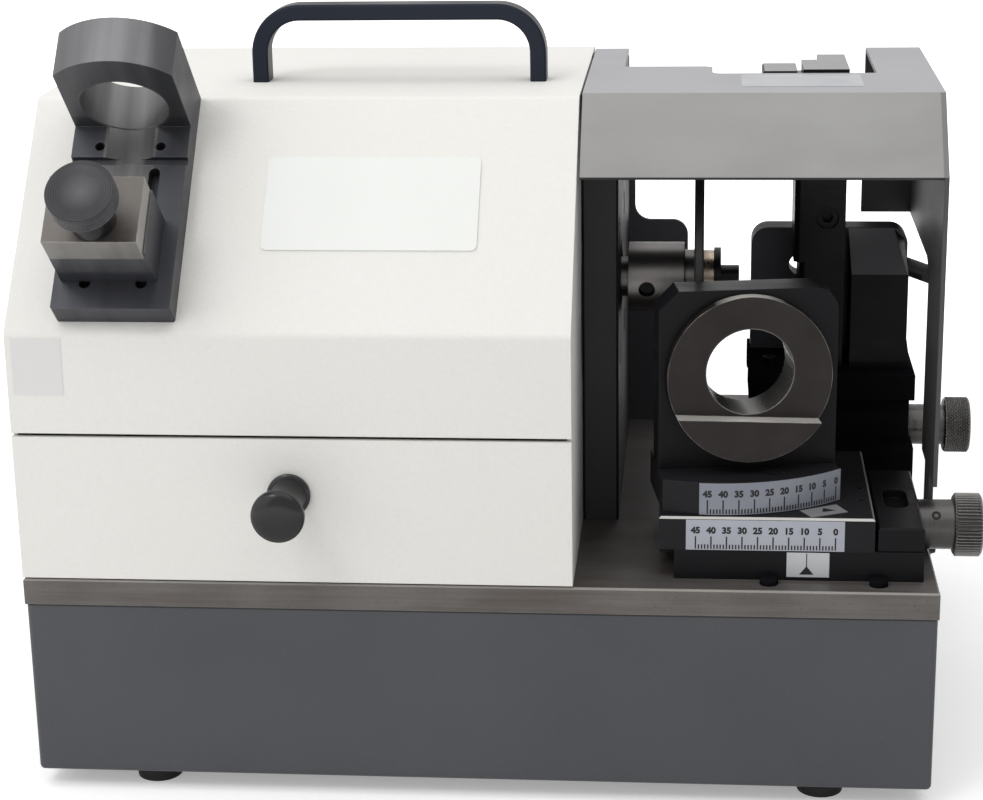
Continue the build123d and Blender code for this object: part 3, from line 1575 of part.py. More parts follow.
# Setter fixture: plate with slots and a trough, and the upright bored ring
with BuildPart() as setter_body:
    with BuildSketch(on_slope(0)):
        with Locations((setter_left, setter_low)):
            Rectangle(setter_width, setter_length, align=low_corner)
        chamfer(vertices().group_by(Axis.Y)[0], setter_chamfer)
    extrude(amount=setter_thickness)
    with BuildSketch(up_slope(ring_low)):
        with Locations((setter_centre, ring_axis)):
            Circle(ring_radius)
        with Locations((setter_centre, setter_thickness)):
            Rectangle(
                setter_width, 2 * ring_radius, align=(Align.CENTER, Align.MIN), mode=Mode.INTERSECT
            )
        with Locations((setter_centre, setter_thickness)):
            Rectangle(setter_width, ring_axis_above_plate, align=(Align.CENTER, Align.MIN))
    extrude(amount=-ring_thickness)
    with BuildSketch(up_slope(groove_low + groove_width / 2)):
        with Locations((setter_centre, ring_axis)):
            Circle(chuck_bore / 2 + trough_gap)
    extrude(amount=groove_low + groove_width / 2 - ring_low, mode=Mode.SUBTRACT)
    with BuildSketch(up_slope(ring_low)):
        with Locations((setter_centre, ring_axis)):
            Circle(chuck_bore / 2)
    extrude(amount=-ring_thickness, mode=Mode.SUBTRACT)
    with BuildSketch(on_slope(setter_thickness)):
        with Locations((setter_left, groove_low)):
            Rectangle(setter_width, groove_width, align=low_corner)
    extrude(amount=-groove_depth, mode=Mode.SUBTRACT)
    with BuildSketch(on_slope(setter_thickness)):
        for side in (-1, 1):
            with Locations((setter_centre + side * slot_offset, (slot_low + slot_high) / 2)):
                SlotOverall(slot_high - slot_low, slot_width, rotation=90)
    extrude(amount=-slot_depth, mode=Mode.SUBTRACT)
    with BuildSketch(on_slope(setter_thickness)):
        with Locations(*setter_screw_places):
            Circle(setter_screw / 2 + seat)
    extrude(amount=-setter_thickness, mode=Mode.SUBTRACT)

with BuildPart() as setter_screws:
    with BuildSketch(on_slope(setter_thickness - setter_screw_sink)):
        with Locations(*setter_screw_places):
            Circle(setter_screw / 2)
    extrude(amount=setter_screw_sink - setter_thickness - sheet - setter_screw_grip)

# Stop block with its keys, the cap over it and the knurled thumb screw
with BuildPart() as stop_block:
    with BuildSketch(on_slope(setter_thickness)):
        with Locations((stop_left, stop_low)):
            Rectangle(stop_width, stop_length, align=low_corner)
    extrude(amount=stop_height)
    with BuildSketch(on_slope(setter_thickness)):
        for side in (-1, 1):
            with Locations((setter_centre + side * slot_offset, stop_low + key_end_gap)):
                Rectangle(slot_width - 4 * sliding, key_length, align=(Align.CENTER, Align.MIN))
    extrude(amount=-key_depth)
    with BuildSketch(on_slope(setter_thickness + stop_height)):
        with Locations((thumb_x, thumb_place)):
            Circle(thumb_shank / 2 + running)
    extrude(amount=-stop_height, mode=Mode.SUBTRACT)

with BuildPart() as stop_cap:
    with BuildSketch(on_slope(cap_floor - cap_joint)):
        with Locations((stop_left + cap_step, stop_low)):
            Rectangle(stop_width - 2 * cap_step, stop_length, align=low_corner)
    extrude(amount=cap_joint)
    with BuildSketch(on_slope(cap_floor)):
        with Locations((cap_left, stop_low - cap_overhang)):
            Rectangle(cap_width, stop_length + cap_overhang, align=low_corner)
    extrude(amount=cap_height)
    with BuildSketch(on_slope(cap_floor)):
        with Locations((cap_left, stop_low - cap_overhang)):
            Rectangle(cap_width, cap_overhang, align=low_corner)
    extrude(amount=-cap_lip)
    with BuildSketch(on_slope(cap_roof)):
        with Locations((thumb_x, thumb_place)):
            Circle(thumb_shank / 2 + running)
    extrude(amount=-cap_height - cap_joint, mode=Mode.SUBTRACT)

with BuildPart() as thumb_screw:
    with BuildSketch(on_slope(thumb_neck_foot)):
        with Locations((thumb_x, thumb_place)):
            Circle(thumb_shank / 2)
    extrude(amount=-thumb_shank_depth)
    with BuildSketch(on_slope(thumb_neck_foot)):
        with Locations((thumb_x, thumb_place)):
            Circle(thumb_neck / 2)
    extrude(amount=thumb_neck_height)
    with BuildSketch(on_slope(thumb_neck_foot + thumb_neck_height)):
        with Locations((thumb_x, thumb_place)):
            Circle(thumb_head / 2)
    extrude(amount=thumb_head_height)
    dish_plane = on_slope(thumb_top + thumb_dish_radius - thumb_dish_depth)
    with Locations(dish_plane * Location((thumb_x, thumb_place, 0))):
        Sphere(thumb_dish_radius, mode=Mode.SUBTRACT)

# Mains inlet and rocker switch on the rear of the box
with BuildPart() as mains_inlet:
    with BuildSketch(facing(box_rear)):
        with Locations((inlet_x, panel_z)):
            RectangleRounded(inlet_flange_width, inlet_flange_height, inlet_flange_thickness)
    extrude(amount=-inlet_flange_thickness)
    with BuildSketch(facing(box_rear)):
        with Locations((inlet_x, panel_z)):
            Rectangle(inlet_width, inlet_height)
    extrude(amount=inlet_depth)
    with BuildSketch(facing(box_rear + inlet_flange_thickness)):
        with Locations((inlet_x, panel_z)):
            Rectangle(inlet_recess_width, inlet_recess_height)
    extrude(amount=inlet_recess_depth, mode=Mode.SUBTRACT)
    with BuildSketch(facing(box_rear + inlet_flange_thickness - inlet_recess_depth)):
        for step, rise in ((-1, -1), (0, 1), (1, -1)):
            pin_x = inlet_x + step * inlet_pin_spacing
            with Locations((pin_x, panel_z + rise * inlet_pin_rise / 2)):
                Rectangle(inlet_pin_width, inlet_pin_height)
    extrude(amount=-inlet_pin_length)

with BuildPart() as switch_bezel:
    well_height = 2 * (rocker_half + rocker_gap + rocker_crest / 4)
    with BuildSketch(facing(box_rear)):
        with Locations((switch_x, panel_z)):
            RectangleRounded(switch_frame_width, switch_frame_height, switch_frame_thickness / 2)
    extrude(amount=-switch_frame_thickness)
    with BuildSketch(facing(box_rear)):
        with Locations((switch_x, panel_z)):
            Rectangle(switch_body_width, switch_body_height)
    extrude(amount=switch_body_depth)
    with BuildSketch(facing(box_rear + switch_frame_thickness)):
        with Locations((switch_x, panel_z)):
            Rectangle(rocker_width + 2 * rocker_gap, well_height)
    extrude(amount=switch_well, mode=Mode.SUBTRACT)

with BuildPart() as switch_rocker:
    with BuildSketch(across(switch_x - rocker_width / 2)):
        with Locations(Location((box_rear - rocker_sink, panel_z, 0), (0, 0, rocker_tilt))):
            Polygon(
                (-rocker_back, -rocker_half),
                (rocker_valley, -rocker_round),
                (rocker_crest, -rocker_half),
                (rocker_valley, 0),
                (rocker_crest, rocker_half),
                (rocker_valley, rocker_round),
                (-rocker_back, rocker_half),
                align=None,
            )
    extrude(amount=rocker_width)

pieces = {
    "base_box": base_box,
    "base_plate": base_plate,
    "rubber_feet": rubber_feet,
    "housing_cover": housing_cover,
    "cover_bracket": cover_bracket,
    "drawer_runners": drawer_runners,
    "drawer_front": drawer_front,
    "drawer_tray": drawer_tray,
    "drawer_knob": drawer_knob,
    "carry_handle": carry_handle,
    "handle_screws": handle_screws,
    "name_plate": name_plate,
    "upright": upright,
    "rear_shield": rear_shield,
    "guard_hood": guard_hood,
    "m4_flat_screws": m4_flat_screws,
    "m4_pan_screws": m4_pan_screws,
    "m5_cap_screws": m5_cap_screws,
    "motor_stator": motor_stator,
    "motor_front_bell": motor_front_bell,
    "motor_bearings": motor_bearings,
    "motor_rotor": motor_rotor,
    "wheel_arbor": wheel_arbor,
    "arbor_set_screw": arbor_set_screw,
    "grinding_wheel": grinding_wheel,
    "wheel_flange": wheel_flange,
    "clamp_washer": clamp_washer,
    "wheel_bolt": wheel_bolt,
    "slide_base": slide_base,
    "locating_pins": locating_pins,
    "end_block": end_block,
    "front_feed_screw": front_feed_screw,
    "front_knob": front_knob,
    "cross_slide": cross_slide,
    "front_feed_nut": front_feed_nut,
    "pivot_pin": pivot_pin,
    "swivel_base": swivel_base,
    "swivel_lock_screw": swivel_lock_screw,
    "holder_screws": holder_screws,
    "holder_block": holder_block,
    "index_ring": index_ring,
    "rear_base": rear_base,
    "rear_slide": rear_slide,
    "rear_feed_nut": rear_feed_nut,
    "rear_feed_screw": rear_feed_screw,
    "rear_knob": rear_knob,
    "rear_plate": rear_plate,
    "side_box": side_box,
    "column": column,
    "column_screw": column_screw,
    "column_arm": column_arm,
    "clamp_lever": clamp_lever,
    "setter_body": setter_body,
    "setter_screws": setter_screws,
    "stop_block": stop_block,
    "stop_cap": stop_cap,
    "thumb_screw": thumb_screw,
    "mains_inlet": mains_inlet,
    "switch_bezel": switch_bezel,
    "switch_rocker": switch_rocker,
}
for name, piece in pieces.items():
    piece.part.label = name
    export_step(piece.part, f"parts/{name}.step")
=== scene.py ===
import bpy, json, math
from mathutils import Vector, Matrix


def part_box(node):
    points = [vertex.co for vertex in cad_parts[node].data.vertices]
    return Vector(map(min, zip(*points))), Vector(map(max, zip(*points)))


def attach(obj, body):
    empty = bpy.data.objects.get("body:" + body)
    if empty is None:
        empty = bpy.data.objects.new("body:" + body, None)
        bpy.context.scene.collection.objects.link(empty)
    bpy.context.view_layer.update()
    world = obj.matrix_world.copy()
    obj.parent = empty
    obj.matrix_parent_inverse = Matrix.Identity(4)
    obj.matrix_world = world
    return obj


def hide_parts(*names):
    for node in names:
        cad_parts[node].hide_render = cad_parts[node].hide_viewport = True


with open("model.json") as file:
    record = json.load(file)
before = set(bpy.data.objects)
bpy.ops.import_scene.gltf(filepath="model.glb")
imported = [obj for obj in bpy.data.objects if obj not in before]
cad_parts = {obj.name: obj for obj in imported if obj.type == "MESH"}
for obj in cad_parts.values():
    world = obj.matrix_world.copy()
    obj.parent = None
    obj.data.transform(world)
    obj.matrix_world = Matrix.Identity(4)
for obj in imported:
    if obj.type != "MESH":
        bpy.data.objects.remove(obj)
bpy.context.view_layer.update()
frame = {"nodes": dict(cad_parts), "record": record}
mm = 0.001
plateLow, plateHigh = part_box("base_plate")
joints = frame["record"]["behaviour"]["joints"]
hinges = {j["name"]: Vector(j["pos_m"]) for j in joints if "pos_m" in j}
collection = bpy.context.scene.collection
print("frame loaded", len(frame["nodes"]), "nodes")


def at(x, y, z):  # millimetres from the base plate's front left top corner
    return Vector((plateLow.x + x * mm, plateLow.y + y * mm, plateHigh.z + z * mm))


def leftOf(node):  # millimetres from the base plate's left edge to a node's left end
    return (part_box(node)[0].x - plateLow.x) / mm


slope = dict(rise=66.0, run=59.0, foldHeight=84.0)
slopeAngle = math.atan(slope["rise"] / slope["run"])
slopeUp = Vector((0, math.cos(slopeAngle), math.sin(slopeAngle)))
slopeOut = Vector((0, -math.sin(slopeAngle), math.cos(slopeAngle)))


def onSlope(x, up, height):  # millimetres on the housing's slope
    return at(x, 0, slope["foldHeight"]) + (slopeUp * up + slopeOut * height) * mm


swivel = dict(rest=math.radians(8.5), radius=57.3)
pivot = Vector((hinges["swivel_turn"].x, hinges["swivel_turn"].y, plateHigh.z))
swivelBack = Vector((-math.sin(swivel["rest"]), math.cos(swivel["rest"]), 0))
swivelSide = Vector((math.cos(swivel["rest"]), math.sin(swivel["rest"]), 0))


def onSwivel(t, b, z):  # millimetres beside, behind and above the pivot
    return pivot + (swivelSide * t + swivelBack * b + Vector((0, 0, z))) * mm


# The camera stands where the photo was taken from
cameraSet = dict(eye=(222.49, -698.64, 277.32), yaw=0.094, pitch=0.296, roll=0.018,
                 focal=2318.0, wide=983.0, sensor=36.0, farClip=20.0)
yaw, pitch, roll = cameraSet["yaw"], cameraSet["pitch"], cameraSet["roll"]
ahead = Vector((-math.sin(yaw) * math.cos(pitch), math.cos(yaw) * math.cos(pitch),
                -math.sin(pitch)))
side = Vector((math.cos(yaw), math.sin(yaw), 0))
down = ahead.cross(side)
right = math.cos(roll) * side + math.sin(roll) * down
below = -math.sin(roll) * side + math.cos(roll) * down
lens = bpy.data.cameras.new("photoCamera")
lens.sensor_fit = "HORIZONTAL"
lens.sensor_width = cameraSet["sensor"]
lens.lens = cameraSet["sensor"] * cameraSet["focal"] / cameraSet["wide"]
lens.clip_end = cameraSet["farClip"]
camera = bpy.data.objects.new("photoCamera", lens)
collection.objects.link(camera)
turn = Matrix((right, -below, -ahead)).transposed().to_4x4()
camera.matrix_world = Matrix.Translation(at(*cameraSet["eye"])) @ turn
bpy.context.scene.camera = camera
print("camera set")


def wire(tree, source, node, into):  # a source is a node with one of its outputs
    tree.links.new(source[0].outputs[source[1]], node.inputs[into])


# What a finish has where its own dictionary says nothing
plainFinish = dict(
    metal=0.0, specular=0.5, coat=0.0, coatRough=0.15, toneTint=1.0, roughSpread=0.05,
    grainScale=1000.0, grainRough=0.0, grainBump=0.0, ringTurn=(0, 0, 0), ringWander=1.2,
    patches=(), round=0.0, bumpScale=900.0, bumpDetail=3.0, bumpStrength=0.6)
# The detail of each noise, then the stretch of its values over which it comes in
noiseLayers = dict(tone=(5.0, 0.3, 0.7), stain=(6.0, 0.45, 0.68), grain=(3.0, 0.4, 0.7),
                   speck=(2.0, 0.62, 0.72), streak=(4.0, 0.42, 0.66))
ringMarks = dict(detail=3.0, detailScale=2.0, comesIn=(0.2, 0.9))
wornAndGlintEdge = dict(comesIn=(0.75, 0.985), noiseScale=160.0, noiseDetail=4.0, least=0.25,
                gaps=(0.35, 0.6))
patchEdge = dict(inside=0.1, outside=0.2)  # millimetres within and beyond a bore's radius
mixSocket = dict(factor=0, numberA=2, numberB=3, colorA=6, colorB=7, colorOut=2)
bevelSamples = 4


def makeFinish(name, own):
    s = {**plainFinish, **own}
    mat = bpy.data.materials.new(name)
    mat.use_nodes = True
    tree = mat.node_tree
    n = tree.nodes
    shader = n["Principled BSDF"]
    shader.inputs["Metallic"].default_value = s["metal"]
    shader.inputs["Specular IOR Level"].default_value = s["specular"]
    shader.inputs["Coat Weight"].default_value = s["coat"]
    shader.inputs["Coat Roughness"].default_value = s["coatRough"]
    coords = n.new("ShaderNodeTexCoord")
    where, looks = (coords, "Object"), (coords, "Normal")

    def noise(scale, detail, stretch=None):
        tex = n.new("ShaderNodeTexNoise")
        tex.inputs["Scale"].default_value = scale
        tex.inputs["Detail"].default_value = detail
        source = where
        if stretch:
            fit = n.new("ShaderNodeMapping")
            fit.inputs["Scale"].default_value = stretch
            wire(tree, where, fit, "Vector")
            source = fit, "Vector"
        wire(tree, source, tex, "Vector")
        return tex, 0

    def spread(source, low, high, fromLow=0.35, fromHigh=0.65):
        rng = n.new("ShaderNodeMapRange")
        rng.inputs["From Min"].default_value = fromLow
        rng.inputs["From Max"].default_value = fromHigh
        rng.inputs["To Min"].default_value = low
        rng.inputs["To Max"].default_value = high
        wire(tree, source, rng, "Value")
        return rng, 0

    def combine(kind, a, b, nodeKind="ShaderNodeMath", out=0):
        node = n.new(nodeKind)
        node.operation = kind
        for k, part in enumerate((a, b)):
            if isinstance(part, tuple) and hasattr(part[0], "outputs"):
                wire(tree, part, node, k)
            elif part is not None:
                node.inputs[k].default_value = part
        return node, out

    def measure(kind, a, b=None, out="Value"):
        return combine(kind, a, b, "ShaderNodeVectorMath", out)

    def blend(color, factor, other):  # the running colour goes to the other by factor
        mix = n.new("ShaderNodeMix")
        mix.data_type = "RGBA"
        wire(tree, factor, mix, mixSocket["factor"])
        if isinstance(color[0], float):
            mix.inputs[mixSocket["colorA"]].default_value = (*color, 1)
        else:
            wire(tree, color, mix, mixSocket["colorA"])
        mix.inputs[mixSocket["colorB"]].default_value = (*other, 1)
        return mix, mixSocket["colorOut"]

    def layer(kind, color):  # lays one noise over the running colour
        detail, low, high = noiseLayers[kind]
        source = noise(s[kind + "Scale"], detail, s.get(kind + "Stretch"))
        amount = spread(source, 0.0, s[kind + "Tint"], low, high)
        return source, blend(color, amount, s[kind + "Color"])

    def bevel(radius):
        node = n.new("ShaderNodeBevel")
        node.samples = bevelSamples
        node.inputs["Radius"].default_value = radius * mm
        return node, "Normal"

    def patchMask(patch):  # where a patch shows: by the way a face looks, by a bore, by a place
        parts = []
        if "facing" in patch:
            toward, low, high = patch["facing"]
            parts.append(spread(measure("DOT_PRODUCT", looks, tuple(toward)), 0.0, 1.0, low, high))
        if "bore" in patch:
            point, axis, radius = patch["bore"]
            fromPoint = measure("SUBTRACT", where, tuple(point), "Vector")
            off = measure("CROSS_PRODUCT", fromPoint, tuple(axis), "Vector")
            inner = radius - patchEdge["inside"]
            outer = radius + patch.get("soft", patchEdge["outside"])
            parts.append(spread(measure("LENGTH", off), 1.0, 0.0, inner * mm, outer * mm))
        if "past" in patch:
            point, direction, wide = patch["past"]
            fromPoint = measure("SUBTRACT", where, tuple(point), "Vector")
            reach = measure("DOT_PRODUCT", fromPoint, tuple(direction))
            parts.append(spread(reach, 0.0, 1.0, 0.0, wide * mm))
        mask = parts[0]
        for part in parts[1:]:
            mask = combine("MULTIPLY", mask, part)
        return combine("MULTIPLY", mask, patch["amount"])

    tone, color = layer("tone", s["color"])
    rough = spread(tone, s["rough"] - s["roughSpread"], s["rough"] + s["roughSpread"])
    grain = None
    if "stainColor" in s:  # cloudy darker areas
        color = layer("stain", color)[1]
    if "grainColor" in s:  # drawn or ground lines
        grain, color = layer("grain", color)
    if "ringColor" in s:  # lathe marks round an axis
        fit = n.new("ShaderNodeMapping")
        fit.vector_type = "TEXTURE"
        fit.inputs["Location"].default_value = s["ringCentre"]
        fit.inputs["Rotation"].default_value = s["ringTurn"]
        wire(tree, where, fit, "Vector")
        wave = n.new("ShaderNodeTexWave")
        wave.wave_type = "RINGS"
        wave.rings_direction = s["ringAxis"]
        wave.inputs["Scale"].default_value = s["ringScale"]
        wave.inputs["Distortion"].default_value = s["ringWander"]
        wave.inputs["Detail"].default_value = ringMarks["detail"]
        wave.inputs["Detail Scale"].default_value = ringMarks["detailScale"]
        wire(tree, (fit, "Vector"), wave, "Vector")
        grain = wave, 1
        amount = spread(grain, 0.0, s["ringTint"], *ringMarks["comesIn"])
        color = blend(color, amount, s["ringColor"])
    if "speckColor" in s:  # small specks in the coat
        color = layer("speck", color)[1]
    for patch in s["patches"]:
        mask = patchMask(patch)
        color = blend(color, mask, patch["color"])
        if "rough" in patch:
            level = n.new("ShaderNodeMix")
            wire(tree, mask, level, mixSocket["factor"])
            wire(tree, rough, level, mixSocket["numberA"])
            level.inputs[mixSocket["numberB"]].default_value = patch["rough"]
            rough = level, 0
    if "streakColor" in s:  # darker bands: grinding streaks, partly a painted reflection pattern for uneven sheen
        color = layer("streak", color)[1]
    if "wearAndGlint" in s:  # paler along the edges: partly edge wear, partly painted edge highlights
        flat = n.new("ShaderNodeNewGeometry")
        bend = measure("DOT_PRODUCT", bevel(s["wearAndGlintWidth"]), (flat, "Normal"))
        edge = spread(bend, s["wearAndGlint"], 0.0, *wornAndGlintEdge["comesIn"])
        blotches = noise(wornAndGlintEdge["noiseScale"], wornAndGlintEdge["noiseDetail"])
        uneven = spread(blotches, wornAndGlintEdge["least"], 1.0, *wornAndGlintEdge["gaps"])
        color = blend(color, combine("MULTIPLY", edge, uneven), s["wearAndGlintColor"])
    wire(tree, color, shader, "Base Color")
    if grain and s["grainRough"]:
        rough = combine("ADD", rough, spread(grain, -s["grainRough"], s["grainRough"]))
    wire(tree, rough, shader, "Roughness")
    normal = bevel(s["round"]) if s["round"] else None  # softened sharp edges
    bumps = [(noise(s["bumpScale"], s["bumpDetail"]), s["bump"])]
    if grain and s["grainBump"]:
        bumps.append((grain, s["grainBump"]))
    for source, depth in bumps:
        lift = n.new("ShaderNodeBump")
        lift.inputs["Strength"].default_value = s["bumpStrength"]
        lift.inputs["Distance"].default_value = depth * mm
        wire(tree, source, lift, "Height")
        if normal:
            wire(tree, normal, lift, "Normal")
        normal = lift, "Normal"
    wire(tree, normal, shader, "Normal")
    return mat


# Ways that faces look
upward, downward, frontward, rearward = (0, 0, 1), (0, 0, -1), (0, -1, 0), (0, 1, 0)
leftward, rightward = (-1, 0, 0), (1, 0, 0)
frontBevel, rightBevel, boxSlope = (0, -0.707, 0.707), (0.707, 0, 0.707), (0, -0.45, 0.89)
# Axes that rings and bores are tied to
indexCentre = onSwivel(4.0, -40.0, 63.8)
indexBore = onSwivel(4.0, -40.0, 65.8)
setterBore = onSlope(36.3, 0.0, 21.45)
thumbCentre = hinges["thumb_turn"]
# Where a patch begins: a point, the way on from it, and the millimetres over which it comes in
# painted shadow under the base plate's overhang: where a dark band along the top of the box starts
plateOverhangShadow = at(0, 0, -9.75), upward, 0.25
guardLeg = at(250.0, 0, 0), rightward, 1.0
guardLegEdge = at(299.0, 0, 0), rightward, 0.3
guardRear = at(0, 120, 0), rearward, 5.0
slideEdge = at(0, 0, 20.0), upward, 0.3
setterRound = onSlope(0, 0, 12.0), slopeOut, 8.0
setterFace = onSlope(0, 0, 14.0), slopeOut, 2.0
setterRing = onSlope(0, 50.5, 0), slopeUp, 0.3

housingPaint = makeFinish("housingPaint", dict(
    color=(0.80, 0.79, 0.76), toneColor=(0.78, 0.77, 0.735), toneScale=9.0,
    rough=0.6, roughSpread=0.04, specular=0.06, round=0.4,
    grainScale=760.0, grainColor=(0.74, 0.73, 0.695), grainTint=0.32,
    bump=0.17, bumpScale=850.0, bumpDetail=2.5, bumpStrength=0.65))
boxPaint = makeFinish("boxPaint", dict(
    color=(0.071, 0.0732, 0.0805), toneColor=(0.0615, 0.0634, 0.0697), toneScale=14.0,
    rough=0.5, specular=0.3, bump=0.02, bumpScale=1100.0, round=0.4,
    speckScale=1500.0, speckColor=(0.12, 0.12, 0.13), speckTint=0.35,
    # painted shadow: a dark band along the top of the box's sides, under the base plate's overhang
    patches=(dict(facing=(upward, -0.5, -0.2), past=plateOverhangShadow,
                  color=(0.012, 0.012, 0.013), amount=0.85),)))
# painted shade: the colour the guard's inner and lower faces are darkened to
guardShadeInside = (0.030, 0.030, 0.032)
guardPaint = makeFinish("guardPaint", dict(
    color=(0.330, 0.326, 0.321), toneColor=(0.300, 0.296, 0.292), toneScale=16.0,
    rough=0.48, specular=0.22, bump=0.03, bumpScale=1300.0, round=0.5,
    stainColor=(0.252, 0.246, 0.240), stainScale=26.0, stainStretch=(0.6, 1.0, 1.5), stainTint=0.55,
    speckScale=1900.0, speckColor=(0.36, 0.36, 0.356), speckTint=0.15,
    # painted shade on the right leg's inner face, front faces at its edge, the undersides and the
    # rear flange's front face
    patches=(dict(facing=(leftward, 0.6, 0.9), past=guardLeg, color=guardShadeInside, amount=0.86),
             dict(facing=(frontward, 0.6, 0.9), past=guardLegEdge, color=guardShadeInside, amount=0.85),
             dict(facing=(downward, 0.2, 0.5), color=guardShadeInside, amount=0.9),
             # painted light: faces looking straight up are lighter
             dict(facing=(upward, 0.94, 0.99), color=(0.355, 0.355, 0.376), amount=0.8),
             dict(facing=(frontward, 0.9, 0.98), past=guardRear, color=guardShadeInside, amount=0.92))))
plateSteel = makeFinish("plateSteel", dict(
    color=(0.120, 0.111, 0.107), toneColor=(0.088, 0.080, 0.075), toneScale=22.0,
    rough=0.5, roughSpread=0.08, metal=0.5, bump=0.006, bumpScale=500.0, round=0.3,
    stainColor=(0.075, 0.062, 0.052), stainScale=55.0, stainStretch=(0.5, 1.0, 2.2), stainTint=0.85,
    speckScale=1500.0, speckColor=(0.055, 0.048, 0.043), speckTint=0.45,
    grainStretch=(0.02, 1.0, 1.0), grainColor=(0.175, 0.166, 0.16), grainTint=0.3,
    grainRough=0.06, grainBump=0.004, wearAndGlint=0.5, wearAndGlintWidth=0.7, wearAndGlintColor=(0.27, 0.255, 0.235),
    # painted highlight along the top front chamfer
    patches=(dict(facing=(frontBevel, 0.90, 0.985), color=(0.24, 0.225, 0.208), amount=0.75),)))
anodised = dict(
    color=(0.0048, 0.0048, 0.0058), toneColor=(0.0075, 0.0075, 0.0088), toneScale=35.0,
    rough=0.38, roughSpread=0.07, specular=0.09, bump=0.003, bumpScale=1500.0, round=0.45,
    grainStretch=(0.06, 1.0, 1.0), grainColor=(0.012, 0.012, 0.0138), grainTint=0.3,
    grainRough=0.05, grainBump=0.002, wearAndGlint=0.30, wearAndGlintWidth=0.45, wearAndGlintColor=(0.075, 0.075, 0.078))
blackAnodised = makeFinish("blackAnodised", anodised)
# painted light: a lighter copy of the black anodised finish for the upright, which sits in shade,
# with its front faces lighter still
wallBlack = makeFinish("wallBlack", dict(
    anodised, color=(0.016, 0.016, 0.0172), toneColor=(0.021, 0.021, 0.0225), rough=0.5,
    patches=(dict(facing=(frontward, 0.8, 0.95), color=(0.058, 0.058, 0.060), amount=0.9),)))
# painted light: a lighter copy of the black anodised finish for the rear shield and rear plate,
# with their front faces lighter still
shieldBlack = makeFinish("shieldBlack", dict(
    anodised, color=(0.016, 0.016, 0.018), toneColor=(0.021, 0.021, 0.0235), rough=0.5,
    patches=(dict(facing=(frontward, 0.8, 0.95), color=(0.118, 0.118, 0.134), amount=0.9),)))
boxBlack = makeFinish("boxBlack", dict(
    anodised,
    # painted reflection: the side box's sloped top faces are made paler
    patches=(dict(facing=(boxSlope, 0.86, 0.97), color=(0.15, 0.15, 0.161), amount=0.9),)))
slideBlack = makeFinish("slideBlack", dict(anodised, specular=0.0, rough=0.5, wearAndGlint=0.15))
armBlack = makeFinish("armBlack", dict(
    anodised, color=(0.0085, 0.0085, 0.0100),
    # painted reflection: the tops of the column and its arm are made pale
    patches=(dict(facing=(upward, 0.9, 0.99), color=(0.28, 0.277, 0.283), amount=0.9, rough=0.3),)))
slideAnodised = makeFinish("slideAnodised", dict(
    anodised, color=(0.0125, 0.0125, 0.0140), toneColor=(0.016, 0.016, 0.018),
    # painted highlights along the top front and top right chamfers
    patches=(dict(facing=(frontBevel, 0.90, 0.985), past=slideEdge,
                  color=(0.62, 0.61, 0.59), amount=0.9),
             dict(facing=(rightBevel, 0.90, 0.985), past=slideEdge,
                  color=(0.30, 0.30, 0.29), amount=0.6))))
handlePaint = makeFinish("handlePaint", dict(
    color=(0.0040, 0.0058, 0.0120), toneColor=(0.0062, 0.0084, 0.0158), toneScale=40.0,
    rough=0.36, specular=0.10, bump=0.010, bumpScale=1600.0, round=0.5,
    # painted light: faces looking forward are lighter
    patches=(dict(facing=(frontward, 0.5, 0.9), color=(0.021, 0.0255, 0.037), amount=0.85),)))
indexSteel = makeFinish("indexSteel", dict(
    color=(0.0200, 0.0166, 0.0157), toneColor=(0.0140, 0.0115, 0.0108), toneScale=60.0,
    rough=0.45, roughSpread=0.06, metal=0.4, specular=0.22, bump=0.002, round=0.35,
    ringAxis="Y", ringCentre=indexCentre, ringTurn=(0, 0, swivel["rest"]), ringScale=420.0,
    ringColor=(0.027, 0.024, 0.022), ringTint=0.3, grainRough=0.04, grainBump=0.002,
    # these pale edges are mostly painted highlight along the ledge and ring edges, with some edge
    # wear
    wearAndGlint=0.9, wearAndGlintWidth=0.5, wearAndGlintColor=(0.40, 0.38, 0.35),
    # painted highlight: faces looking up, the ledge top, are made pale
    patches=(dict(facing=(upward, 0.9, 0.99), color=(0.60, 0.58, 0.545), amount=0.95),
             dict(bore=(indexBore, -swivelBack, 14.5),
                  color=(0.085, 0.081, 0.078), amount=0.92, rough=0.22))))
setterSteel = makeFinish("setterSteel", dict(
    color=(0.063, 0.0645, 0.074), toneColor=(0.048, 0.0495, 0.058), toneScale=45.0,
    rough=0.40, roughSpread=0.06, metal=0.5, specular=0.4, bump=0.003, round=0.4,
    grainStretch=(1.0, 0.04, 0.04), grainColor=(0.056, 0.056, 0.061), grainTint=0.22,
    grainRough=0.03, grainBump=0.0015, wearAndGlint=0.35, wearAndGlintWidth=0.5, wearAndGlintColor=(0.19, 0.187, 0.187),
    streakColor=(0.030, 0.031, 0.036), streakScale=70.0, streakStretch=(1.0, 0.06, 0.06),
    streakTint=0.75,
    # painted light: the ring's top, looking out from the slope, is lighter than the plate below,
    # and the ring's front face is lighter too
    patches=(dict(facing=(slopeOut, 0.35, 0.7), past=setterRound,
                  color=(0.185, 0.180, 0.185), amount=0.85),
             dict(facing=(-slopeUp, 0.8, 0.95), past=setterFace,
                  color=(0.130, 0.130, 0.139), amount=0.85),
             dict(bore=(setterBore, slopeUp, 15.1), past=setterRing,
                  color=(0.175, 0.172, 0.172), amount=0.9, rough=0.3))))
